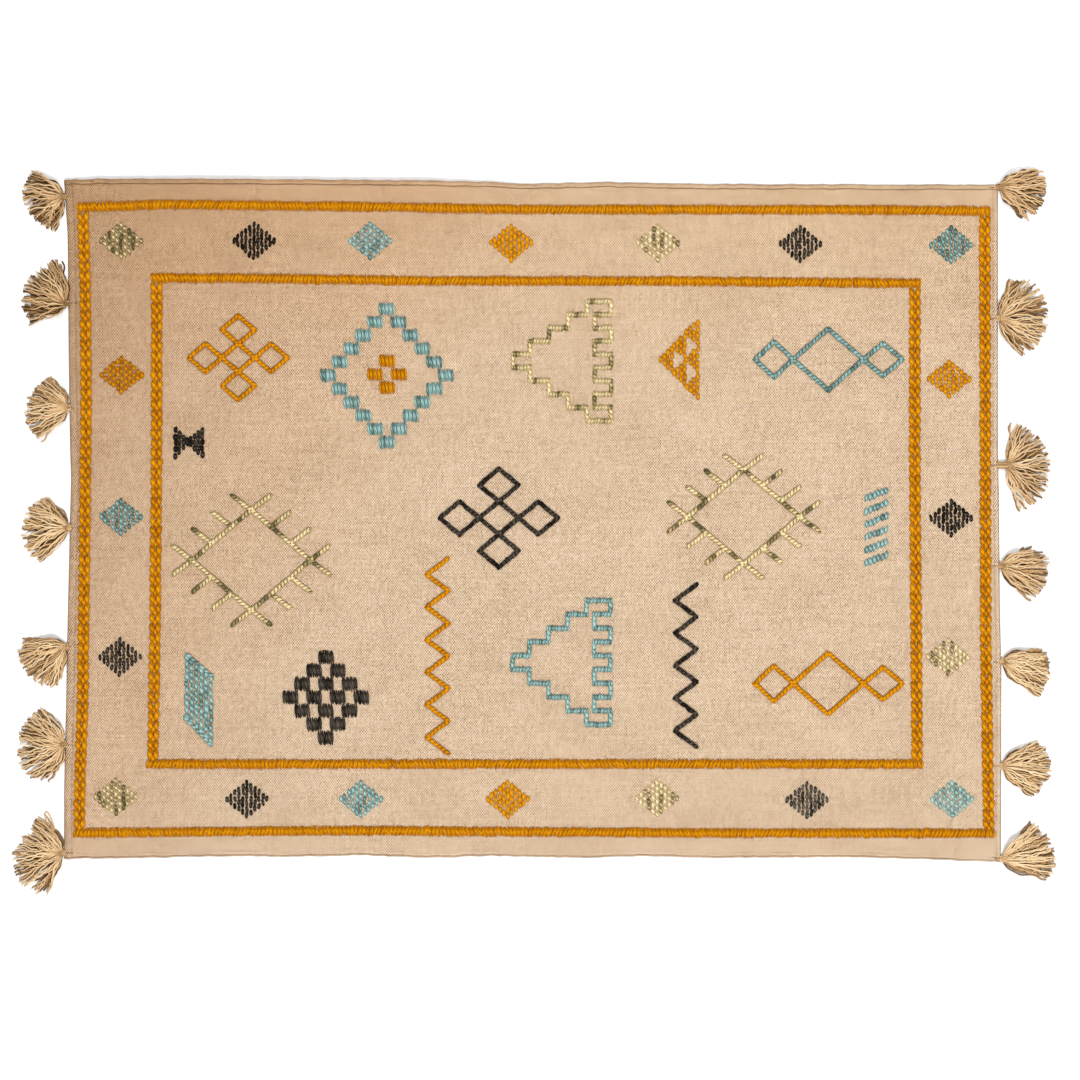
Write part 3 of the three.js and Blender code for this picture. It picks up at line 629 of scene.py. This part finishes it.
# Border lozenges
# Twenty filled lozenges between the two frames, in ochre, teal, black and variegated olive
# yarn. Each is filled with short almond stitches, laid like bricks in upright columns.
TEAL = {
    "slot": "yarn_teal", "change": 0.9, "spread": 0.13,
    "finish": yarn_finish("teal_yarn", (
        (0.0, (0.06, 0.11, 0.10)), (0.3, (0.205, 0.34, 0.32)), (0.55, (0.335, 0.54, 0.52)),
        (0.9, (0.53, 0.73, 0.675)))),
}
BLACK = {
    "slot": "yarn_black", "change": 0.7, "spread": 0.16,
    "finish": yarn_finish("black_yarn", (
        (0.0, (0.008, 0.006, 0.004)), (0.3, (0.024, 0.019, 0.014)), (0.6, (0.086, 0.071, 0.056)),
        (1.0, (0.24, 0.205, 0.165)))),
}
OLIVE = {
    "slot": "yarn_olive", "change": 0.5, "spread": 0.22,
    "finish": yarn_finish("variegated_olive_yarn", (
        (0.0, (0.09, 0.074, 0.032)), (0.25, (0.37, 0.285, 0.12)), (0.5, (0.78, 0.61, 0.315)),
        (0.8, (0.97, 0.83, 0.51)), (1.0, (0.98, 0.89, 0.62)))),
}
YARNS = {"ochre": OCHRE, "teal": TEAL, "black": BLACK, "olive": OLIVE}
LOZENGE_SIDE = 5
LOZENGE_COLUMN = 6.95
LOZENGE_ROW = 11.2
# Each as (side, x, y, yarn, how light)
LOZENGES = (
    ("top", -712, 486, "olive", 0.33), ("top", -481.5, 486, "black", 0.34),
    ("top", -280, 486, "teal", 0.53), ("top", -35.5, 482.5, "ochre", 0.66),
    ("top", 219.5, 482.5, "olive", 0.6), ("top", 466, 480.5, "black", 0.48),
    ("top", 728, 479, "teal", 0.36), ("bottom", -721, -479, "olive", 0.47),
    ("bottom", -493.5, -482.5, "black", 0.49), ("bottom", -296, -482.5, "teal", 0.55),
    ("bottom", -41, -482.5, "ochre", 0.7), ("bottom", 217.5, -480.5, "olive", 0.63),
    ("bottom", 478, -484, "black", 0.72), ("bottom", 729.5, -482.5, "teal", 0.65),
    ("left", -710.5, 253.5, "ochre", 0.4), ("left", -712, 7, "teal", 0.38),
    ("left", -714, -236, "black", 0.52), ("right", 724.5, 246.5, "ochre", 0.6),
    ("right", 728, 5, "black", 0.38), ("right", 722.5, -236, "olive", 0.59))
FILL_WIDE = {"ochre": 6.9, "teal": 6.4, "black": 5.9, "olive": 6.4}


def almond(x, y, dice, long=11.2, wide=6.4, high=3.3, turn=0.0, sway=14.0):
    """One short upright stitch of a filling."""
    return (
        x + dice.uniform(-0.7, 0.7), y + dice.uniform(-1.1, 1.1),
        math.pi / 2 - turn + math.radians(dice.uniform(-sway, sway)),
        long * dice.uniform(0.88, 1.16), wide * dice.uniform(0.86, 1.12), high * dice.uniform(0.86, 1.12),
        STRAIGHT, 0.0)


def filled_lozenge(x, y, wide, dice):
    stitches = []
    for column in range(-LOZENGE_SIDE, LOZENGE_SIDE + 1):
        count = LOZENGE_SIDE + 1 - abs(column)
        for place in range(count):
            up = (place - (count - 1) / 2) * LOZENGE_ROW
            stitches.append(almond(x + column * LOZENGE_COLUMN, y + up, dice, wide=wide))
    return stitches


laid_on = {"top": 0, "bottom": 0, "left": 0, "right": 0}
for side, x, y, yarn, light in LOZENGES:
    laid_on[side] += 1
    name = f"{side}_lozenge_{laid_on[side]}"
    dice = random.Random(sum(map(ord, name)) + 3)
    stitches = filled_lozenge(x, y, FILL_WIDE[yarn], dice)
    sew(name, stitches, YARNS[yarn], f"lozenge_{side}_{laid_on[side]}", light)

# Line figures of the field
# Knots, chains of lozenges, ticked lozenges and zigzags, each worked as a rope of short
# slanted stem stitches, one thick yarn wide, along straight lines that meet in corners.
ROPE_PITCH = 7.4
ROPE_LONG = 14.6
ROPE_YARN = 7.4
ROPE_HIGH = 4.6
ROPE_SLANT = 8.0
CHAIN_LINKS = ((0, 33, 31), (94, 61, 53), (189, 34, 28))
TICK_ALONG = 33.0
TICK_UP = 25.0
ZIGZAG_LONG = 38.0
ZIGZAG_PITCH = 28.2


def rope(corners, dice, closed=False, slant=ROPE_SLANT):
    path = list(corners) + ([corners[0]] if closed else [])
    stitches = []
    for start, end in zip(path, path[1:]):
        for x, y, way in walk((start, end), ROPE_PITCH):
            stitches.append((
                x + dice.uniform(-0.4, 0.4), y + dice.uniform(-0.4, 0.4),
                way + math.radians(slant + dice.uniform(-10, 10)),
                ROPE_LONG * dice.uniform(0.88, 1.14), ROPE_YARN * dice.uniform(0.92, 1.12),
                ROPE_HIGH * dice.uniform(0.9, 1.12), STRAIGHT, 0.0))
    return stitches


def lozenge(x, y, half_long, half_wide):
    return ((x - half_long, y), (x, y + half_wide), (x + half_long, y), (x, y - half_wide))


def knot(x, y, half_long, half_wide, dice):
    stitches = []
    for across, up in ((0, 0), (-2, 0), (2, 0), (0, 2), (0, -2)):
        corners = lozenge(x + across * half_long, y + up * half_wide, half_long, half_wide)
        stitches += rope(corners, dice, closed=True)
    return stitches


def chain(x, y, dice):
    stitches = []
    for middle, half_long, half_wide in CHAIN_LINKS:
        stitches += rope(lozenge(x + middle, y, half_long, half_wide), dice, closed=True)
    return stitches


def ticked_lozenge(x, y, half_long, half_wide, dice):
    stitches = rope(lozenge(x, y, half_long, half_wide), dice, closed=True)
    for across in (-1, 1):
        for up in (-1, 1):
            for tick in range(4):
                part = tick / 3
                root = (x + across * half_long * part, y + up * half_wide * (1 - part))
                stitches += rope((root, (root[0] + across * TICK_ALONG, root[1] + up * TICK_UP)), dice)
    return stitches


def zigzag(x, top, points, dice):
    corners = [(x - (ZIGZAG_LONG if index % 2 else 0), top - index * ZIGZAG_PITCH) for index in range(points)]
    return rope(corners, dice)


LINE_FIGURES = (
    ("knot_ochre", knot, (-508.5, 283, 28.5, 24.3), "ochre", 0.44),
    ("knot_black", knot, (-56.5, 5, 34.2, 28.5), "black", 0.44),
    ("chain_teal", chain, (420.5, 280), "teal", 0.34),
    ("chain_ochre", chain, (420.5, -282), "ochre", 0.49),
    ("ticked_left", ticked_lozenge, (-486, -68, 102.5, 87), "olive", 0.43),
    ("ticked_right", ticked_lozenge, (368, 7, 97, 81.5), "olive", 0.45),
    ("zigzag_ochre", zigzag, (-144, -65, 13), "ochre", 0.46),
    ("zigzag_black", zigzag, (286.5, -110, 11), "black", 0.46),
)
for node, figure, places, yarn, light in LINE_FIGURES:
    dice = random.Random(sum(map(ord, node)))
    sew(f"sewn_{node}", figure(*places, dice), YARNS[yarn], node, light)

# Block figures of the field
# A stepped lozenge round a small cross, and a checker lozenge. Every step is a block of four
# upright satin stitches that lean the same way and just touch the blocks beside it.
STEP_HIGH = 22.0
CHECK_HIGH = 24.4
BLOCK_STITCHES = 4
BLOCK_STITCH_PITCH = 6.5
BLOCK_PITCH_X = 20.5
BLOCK_PITCH_Y = 23.2
BLOCK_LEAN = -4.0
BLOCK_YARN_WIDE = 7.2
BLOCK_YARN_HIGH = 4.6


def block(x, y, high, dice):
    stitches = []
    for index in range(BLOCK_STITCHES):
        across = (index - (BLOCK_STITCHES - 1) / 2) * BLOCK_STITCH_PITCH
        leaning = math.radians(BLOCK_LEAN + dice.uniform(-4, 4))
        stitches += laid_pair(
            x + across + dice.uniform(-0.4, 0.4), y + dice.uniform(-0.8, 0.8), math.pi / 2 - leaning,
            high * dice.uniform(0.95, 1.06), BLOCK_YARN_WIDE * dice.uniform(0.94, 1.08),
            BLOCK_YARN_HIGH, dice)
    return stitches


def stepped(x, y, steps, dice):
    stitches = []
    for across in range(-steps, steps + 1):
        up = steps - abs(across)
        for level in sorted({-up, up}):
            stitches += block(x + across * BLOCK_PITCH_X, y + level * BLOCK_PITCH_Y, STEP_HIGH, dice)
    return stitches


def checker(x, y, widest, dice):
    stitches = []
    for row in range(1 - widest, widest):
        count = widest - abs(row)
        for place in range(count):
            across = (2 * place - (count - 1)) * BLOCK_PITCH_X
            stitches += block(x + across, y + row * BLOCK_PITCH_Y, CHECK_HIGH, dice)
    return stitches


for node, figure, places, yarn, light in (
        ("stepped_teal", stepped, (-250.7, 252.5, 5), "teal", 0.5),
        ("stepped_cross", stepped, (-250.7, 254.5, 1), "ochre", 0.5),
        ("checker_black", checker, (-356.5, -306, 4), "black", 0.54)):
    dice = random.Random(sum(map(ord, node)))
    sew(f"sewn_{node}", figure(*places, dice), YARNS[yarn], node, light)

# Combs
# Two stepped triangles whose upright side runs back and forth like a comb. The level lines are
# short satin stitches and the upright lines are a rope of stem stitches.
COMB_WALLS = 9
COMB_INSETS = (170, 140.5, 107.5, 74.6, 41.6)
COMB_TOOTH = 28.5
COMB_LEVEL_WIDE = 9.6
COMB_PITCH = 5.8
COMB_YARN_WIDE = 6.4
COMB_YARN_HIGH = 4.6
COMB_LEAN = 14.0
COMB_WAVE = 6.0
COMB_SLANT = -9.0
COMB_LIGHT = 0.56
LEVEL_PAST = 2.5
UPRIGHT_SHORT = 3


def comb(right, top, pitch, dice):
    middle = (COMB_WALLS - 1) // 2
    corners = []
    for wall in range(COMB_WALLS):
        x = right - (COMB_TOOTH if wall % 2 else 0)
        corners += [(x, top - wall * pitch), (x, top - (wall + 1) * pitch)]
    for wall in reversed(range(COMB_WALLS)):
        x = right - COMB_INSETS[abs(wall - middle)]
        corners += [(x, top - (wall + 1) * pitch), (x, top - wall * pitch)]
    stitches = []
    for start, end in zip(corners, corners[1:] + corners[:1]):
        if abs(end[0] - start[0]) > abs(end[1] - start[1]):
            low, high = sorted((start[0], end[0]))
            stitches += satin(
                ((low - LEVEL_PAST, start[1]), (high + LEVEL_PAST, start[1])), COMB_PITCH, COMB_LEVEL_WIDE,
                COMB_YARN_WIDE, COMB_YARN_HIGH, dice, lean=COMB_LEAN, wave=COMB_WAVE)
        elif start[1] != end[1]:
            low, high = sorted((start[1], end[1]))
            stitches += rope(
                ((start[0], low + UPRIGHT_SHORT), (start[0], high - UPRIGHT_SHORT)), dice, slant=COMB_SLANT)
    return stitches


for node, places, yarn in (
        ("comb_olive", (138, 380.8, 23), "olive"), ("comb_teal", (137, -138.1, 23.9), "teal")):
    dice = random.Random(sum(map(ord, node)))
    sew(f"sewn_{node}", comb(*places, dice), YARNS[yarn], node, COMB_LIGHT)

# Filled figures of the field
# Six small triangles, an hourglass, a parallelogram and six slanted bars, all filled with short
# upright stitches in columns, as the lozenges of the border are.
TRIANGLE_PITCH = (22.6, 47.2)
TRIANGLE_LINES = 4
TRIANGLE_START = 3
TRIANGLE_COLUMN = 6.4
TRIANGLE_ROW = 11.4
TRIANGLE_LONG = 11.4
TRIANGLE_WIDE = 6.7
HOURGLASS_UPPER = ((-620, 165), (-596, 143.5), (-568, 165))
HOURGLASS_LOWER = ((-617, 107), (-596, 132.5), (-568, 107))
HOURGLASS_COLUMNS = np.linspace(-617.5, -571, 8)
HOURGLASS_PITCH = 10.8
SLANT_UPPER = ((-600, -229), (-551, -272))
SLANT_LOWER = ((-604, -338), (-553, -391))
SLANT_COLUMNS = np.linspace(-598, -556, 6)
SLANT_PITCH = 11.6
EDGE_PITCH = 9.5
EDGE_STITCH = (14.5, 6.2, 4.8)
HATCH_PITCH = 22.4
HATCH_TOP = 38
HATCH_LEFT = (579, 0.8)
HATCH_RIGHT = (617, 15.8)
HATCH_TURN = math.radians(15)
HATCH_STITCH_PITCH = 7.0
HATCH_PAST = 1.5


def triangles(x, y, columns, dice):
    stitches = []
    for column in range(columns):
        for row in range(column + 1):
            middle = y + (row - column / 2) * TRIANGLE_PITCH[1]
            for line in range(TRIANGLE_LINES):
                across = x + column * TRIANGLE_PITCH[0] + TRIANGLE_START + line * TRIANGLE_COLUMN
                for place in range(line + 1):
                    up = middle + (place - line / 2) * TRIANGLE_ROW
                    stitches.append(almond(across, up, dice, long=TRIANGLE_LONG, wide=TRIANGLE_WIDE))
    return stitches


def filled_between(columns, upper, lower, pitch, dice, wide, lap, sway):
    """Columns of stitches that fill a figure from its lower outline to its upper one."""
    stitches = []
    for x in columns:
        high, low = float(reading(upper, x)), float(reading(lower, x))
        count = max(1, round((high - low) / pitch))
        for place in range(count):
            y = low + (place + 0.5) * (high - low) / count
            stitches.append(almond(x, y, dice, long=(high - low) / count * lap, wide=wide, sway=sway))
    return stitches


def hourglass(dice):
    return filled_between(
        HOURGLASS_COLUMNS, HOURGLASS_UPPER, HOURGLASS_LOWER, HOURGLASS_PITCH, dice,
        wide=7.5, lap=1.03, sway=5.0)


def parallelogram(dice):
    """Columns of stitches, with a line of longer ones along the upper and the lower edge."""
    stitches = filled_between(
        SLANT_COLUMNS, SLANT_UPPER, SLANT_LOWER, SLANT_PITCH, dice, wide=7.6, lap=1.16, sway=14.0)
    for edge in (SLANT_UPPER, SLANT_LOWER):
        for x, y, way in walk(edge, EDGE_PITCH, 2.0):
            stitches.append((x, y, way + math.radians(dice.uniform(-8, 8)), *EDGE_STITCH, STRAIGHT, 0.5))
    return stitches


def hatch(bar, dice):
    level = HATCH_TOP - bar * HATCH_PITCH
    path = [(x, level + rise) for x, rise in (HATCH_LEFT, HATCH_RIGHT)]
    return [
        almond(x, y, dice, long=13.5, wide=6.9, turn=HATCH_TURN)
        for x, y, _ in walk(path, HATCH_STITCH_PITCH, -HATCH_PAST)]


dice = random.Random(51)
sew("sewn_triangles", triangles(221, 280, 3, dice), OCHRE, "triangles_ochre", light=0.56)
sew("sewn_hourglass", hourglass(dice), BLACK, "hourglass_black", light=0.42)
sew("sewn_parallelogram", parallelogram(dice), TEAL, "slant_teal")
for bar in range(6):
    sew(f"sewn_hatch_{bar + 1}", hatch(bar, dice), TEAL, f"hatch_{bar + 1}")

# Tassels
# Seven on each short end, of loose crinkled cotton yarn. The bundle is sewn through the hem,
# wound tight at its neck and left to fall open in a fan that rests on the floor.
TASSEL_ROUGH = 0.88
TASSEL_FIBRES = 520.0
TASSEL_TWIST = 260.0
TASSEL_BUMP = 0.5
# Each as (end, place along the hem, how far out the neck is, first and last angle of the fan, its
# reach at five even angles)
TASSELS = (
    ("left", 562, 6.4, -78, 42, (62, 57, 65, 69, 69)), ("left", 378, 6.6, -27, 85, (71, 75, 77, 73, 78)),
    ("left", 196, 7, -51, 64, (71, 74, 67, 62, 60)), ("left", -12, 7.6, -53, 55, (73, 80, 76, 70, 64)),
    ("left", -218.5, 6.4, -81, 10, (70, 76, 80, 80, 67)), ("left", -387, 6.6, -72, 66, (66, 82, 76, 74, 70)),
    ("left", -576, 7, -69, 64, (73, 88, 82, 64, 75)), ("right", 579, 6.4, -55, 31, (64, 76, 78, 78, 63)),
    ("right", 352, 7.6, -62, 76, (75, 78, 80, 83, 66)), ("right", 97, 20, -76, 85, (84, 75, 70, 69, 73)),
    ("right", -78, 7.4, -50, 37, (77, 79, 80, 68, 46)), ("right", -244.5, 7.6, -46, 20, (85, 82, 79, 73, 63)),
    ("right", -425, 6.6, -48, 39, (72, 76, 82, 76, 67)), ("right", -586, 6.4, -24, 51, (82, 91, 85, 82, 80)))
TASSEL_TONES = (
    (0.0, (0.10, 0.049, 0.017)), (0.3, (0.37, 0.212, 0.092)), (0.6, (0.735, 0.485, 0.25)),
    (1.0, (0.98, 0.765, 0.475)))
DARKER = {
    "left_tassel_1": 0.19, "left_tassel_2": 0.2, "right_tassel_1": 0.13,
    "right_tassel_5": -0.03, "right_tassel_6": -0.06, "right_tassel_7": -0.08}
STRANDS = 70
UNDER_STRANDS = 56
LOCKS = 32
STRAND_THICK = 1.4
STRAND_POINTS = 16
STRAND_SIDES = 5
STRAND_ROOT = 2.0
STRAND_LENGTHS = (1.0, 0.98, 0.94, 0.88, 0.78)
STRAND_STRAYS = (0, 0, 0, 0, -11, 11)
STRAND_SWAY = 6.0
STRAND_TAPER = 0.2
CRINKLE_LONG = (16, 27)
ROOT_HIGH = 4.0
LAYER_ARCH = 10.0
LAYER_LIFT = 1.2
WIDEST_START = 98
# Strand tones: the real under strands carry painted shade, the strands over them a painted light that grows
# with their height
UNDER_PAINTED_SHADE = 0.19
OVER_SHADE = 0.33
OVER_PAINTED_LIGHT = 0.5
ROOT_SHARE = 0.6
# How much painted shade the strands get near the neck, where they crowd together
ROOT_PAINTED_SHADE = 0.2
NECK_HIGH = 4.8
NECK_YARNS = (-4.4, -2.2, 0.0, 2.2, 4.4)
NECK_TURNS = 3
TURN_STEPS = 10
WINDING_START = -3.0
WINDING_LONG = 6.8
WINDING_HALF_WIDE = 5.6
WINDING_HALF_HIGH = 3.9
# The neck's tone: the yarn's own colour, darkened as painted shade for the strands that cover it
NECK_SHADE = 0.45
# The yarn that is sewn through the hem, as (out from its edge, aside, share of the drop, height)
SEWN_END = (
    (1.5, 0.6, 0.0, 3.4), (-1, 0.4, 0.0, 4.9), (-7, 0, 0.3, 4.9), (-14, 0, 0.8, 3.6), (-17, 0, 1.0, 2.4))
SEWN_THICK = 0.6
SEWN_SHADE = 0.2
# Each as (angle, how far out, how wide)
LOOPS = {
    "left_tassel_3": (64, 60, 3), "left_tassel_4": (57, 62, 7), "left_tassel_7": (71, 75, 6),
    "right_tassel_3": (-62, 78, 4)}
LOOP_STEPS = 20
LOOP_SHADE = 0.7
LOOP_ROOT_OUT = 1.4
LOOP_ROOT_HIGH = 5.5


def strand_tree():
    """Gives every strand, drawn as a run of edges, its own thickness of round yarn."""
    tree, given = new_tree("tassel_strands", Sides="Int", Yarn="Material")
    runs = put(tree, "GeometryNodeMeshToCurve", {"Mesh": given["Geometry"]}).outputs[0]
    thick = put(tree, "GeometryNodeInputNamedAttribute", {"Name": "thick"}, data_type="FLOAT")
    length = put(tree, "GeometryNodeSplineParameter").outputs["Length"]
    yarn = round_yarn(tree, runs, length, given["Sides"], 1.0, thick.outputs["Attribute"])
    dyed = put(tree, "GeometryNodeSetMaterial", {"Geometry": yarn, "Material": given["Yarn"]})
    put(tree, "NodeGroupOutput", {0: dyed.outputs[0]})
    return tree


def tassel_finish():
    """Tassel yarn: its length is in metres, so its twist is in turns to the metre."""
    material, tree, shader, tone, _, _ = twisted_yarn(
        "tassel_cotton", TASSEL_ROUGH, TASSEL_FIBRES, TASSEL_TWIST, TASSEL_BUMP)
    tree.links.new(ramped(tree, tone, TASSEL_TONES), shader.inputs["Base Color"])
    return material


def fan_strand(head, outward, root, start, angle, far, layer, dice):
    """One strand of the fan: it leaves the neck to the side, then bends round to its tip."""
    crinkle, phase = dice.uniform(0.4, 1.5), dice.uniform(0, math.tau)
    waves = far / dice.uniform(*CRINKLE_LONG)
    sway = dice.uniform(-STRAND_SWAY, STRAND_SWAY)
    points = []
    for index in range(STRAND_POINTS):
        part = index / (STRAND_POINTS - 1)
        bend = math.radians(start + (angle - start) * part ** 0.75)
        reach = STRAND_ROOT + (far - STRAND_ROOT) * part
        aside = crinkle * math.sin(phase + waves * math.tau * part) * min(1.0, part * 4)
        aside += sway * math.sin(1.6 * math.pi * part)
        x = math.cos(bend) * reach - math.sin(bend) * aside - root[0] * (1 - part) ** 2
        y = math.sin(bend) * reach + math.cos(bend) * aside + root[1] * (1 - part)
        high = STRAND_THICK + ROOT_HIGH * (1 - part) ** 1.3
        high += layer * (LAYER_ARCH * math.sin(math.pi * part ** 0.7) + LAYER_LIFT)
        points.append((head[0] + outward * x, head[1] + y, high))
    return points


def loop_strand(head, outward, angle, far, wide):
    """A yarn left uncut, that runs out to a loop and back to the neck."""
    points = []
    bend = math.radians(angle)
    for index in range(LOOP_STEPS + 1):
        turn = math.pi * index / LOOP_STEPS
        reach = far * math.sin(turn) ** 0.8
        aside = wide * math.cos(turn) * math.sin(turn) * 1.3 + LOOP_ROOT_OUT * math.cos(turn)
        points.append((
            head[0] + outward * (math.cos(bend) * reach - math.sin(bend) * aside),
            head[1] + math.sin(bend) * reach + math.cos(bend) * aside,
            STRAND_THICK + LOOP_ROOT_HIGH * (1 - reach / far)))
    return points


def neck_strands(edge, head, outward, dice):
    """The yarns from the hem to the head, the turns wound round them, and the sewn-in end."""
    runs = []
    for aside in NECK_YARNS:
        high = NECK_HIGH + 1.5 - abs(aside) * 0.35
        runs.append(([
            (edge - outward * 3, head[1] + aside * 0.8, NECK_HIGH + 0.4), (edge, head[1] + aside, high),
            ((edge + head[0]) / 2, head[1] + aside * 1.1, high - 0.4), (head[0], head[1] + aside * 0.9, high),
            (head[0] + outward * 5, head[1] + aside * 1.2, high - 0.4)], STRAND_THICK * 1.2, NECK_SHADE))
    winding = []
    steps = NECK_TURNS * TURN_STEPS
    for step in range(steps + 1):
        angle = step / TURN_STEPS * math.tau
        winding.append((
            head[0] + outward * (WINDING_START + WINDING_LONG * step / steps),
            head[1] + WINDING_HALF_WIDE * math.cos(angle), NECK_HIGH + WINDING_HALF_HIGH * math.sin(angle)))
    runs.append((winding, STRAND_THICK * 0.85, NECK_SHADE))
    drop = dice.uniform(-3, 3)
    sewn = [
        (edge + outward * far, head[1] + aside + drop * share, high) for far, aside, share, high in SEWN_END]
    runs.append((sewn, SEWN_THICK, SEWN_SHADE))
    return runs


def tassel(name, end, y, out, start, stop, reach, node):
    """Under strands spread evenly over the fan, and strands over them gathered into locks; the under strands
    are painted dark as shade.
    """
    dice = random.Random(sum(map(ord, name)) * 7)
    outward = -1 if end == "left" else 1
    edge = float(reading(LEFT_END if end == "left" else RIGHT_END, y))
    head = (edge + outward * out, y)
    middle = (start + stop) / 2
    runs = neck_strands(edge, head, outward, dice)
    tied = len(runs)
    locks = [start + (stop - start) * (lock + dice.uniform(0.2, 0.8)) / LOCKS for lock in range(LOCKS)]
    for index in range(UNDER_STRANDS + STRANDS):
        under = index < UNDER_STRANDS
        lock = start + (stop - start) * (index + 0.5) / UNDER_STRANDS if under else locks[index % LOCKS]
        share = (lock - start) / (stop - start)
        angle = min(stop, max(start, lock + dice.uniform(-5, 5) + dice.choice(STRAND_STRAYS)))
        far = float(np.interp(share, np.linspace(0, 1, len(reach)), reach)) * dice.choice(STRAND_LENGTHS)
        first = middle + (angle - middle) * dice.uniform(1.15, 1.6)
        first = min(WIDEST_START, max(-WIDEST_START, first))
        layer = dice.uniform(0.0, 0.12) if under else dice.uniform(0.2, 1.0)
        aside = 2 * share - 1
        root = (min(out - 2, 5.5) * abs(aside), 4.8 * aside + dice.uniform(-1.6, 1.6))
        strand = fan_strand(head, outward, root, first, angle, far, layer, dice)
        thick = STRAND_THICK * (1.2 if under else dice.uniform(0.82, 1.12))
        # Under strands darkened as painted shade, upper strands lightened with their height as painted light
        runs.append((strand, thick, UNDER_PAINTED_SHADE if under else OVER_SHADE + OVER_PAINTED_LIGHT * layer))
    if name in LOOPS:
        runs.append((loop_strand(head, outward, *LOOPS[name]), STRAND_THICK, LOOP_SHADE))
    points, edges, thicks, tones = [], [], [], []
    for index, (run, radius, shade) in enumerate(runs):
        first_point = len(points)
        points += [(px * MM, py * MM, pz * MM) for px, py, pz in run]
        edges += [(first_point + step, first_point + step + 1) for step in range(len(run) - 1)]
        shade = dice.gauss(shade, 0.1) - DARKER.get(name, 0.0)
        for step in range(len(run)):
            part = step / (len(run) - 1)
            free = 1.0 if index < tied else min(1.0, 4 * part)
            taper = (ROOT_SHARE + (1 - ROOT_SHARE) * free) * (1 - STRAND_TAPER * part)
            thicks.append(radius * MM * taper)
            # Painted shade on the strands near the neck
            tones.append(shade - ROOT_PAINTED_SHADE * (1 - free))
    mesh = bpy.data.meshes.new(name)
    mesh.from_pydata(points, edges, [])
    store(mesh, "thick", thicks)
    store(mesh, "tone", tones)
    made = plain_mesh(name, mesh, STRANDS_TREE, {"Sides": STRAND_SIDES, "Yarn": TASSEL_FINISH})
    piece = shown(name, made)
    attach(piece, "root")
    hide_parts(node)


STRANDS_TREE = strand_tree()
TASSEL_FINISH = tassel_finish()
hung_on = {"left": 0, "right": 0}
for end, y, out, start, stop, reach in TASSELS:
    hung_on[end] += 1
    tassel(f"{end}_tassel_{hung_on[end]}", end, y, out, start, stop, reach, f"tassel_{end}_{hung_on[end]}")
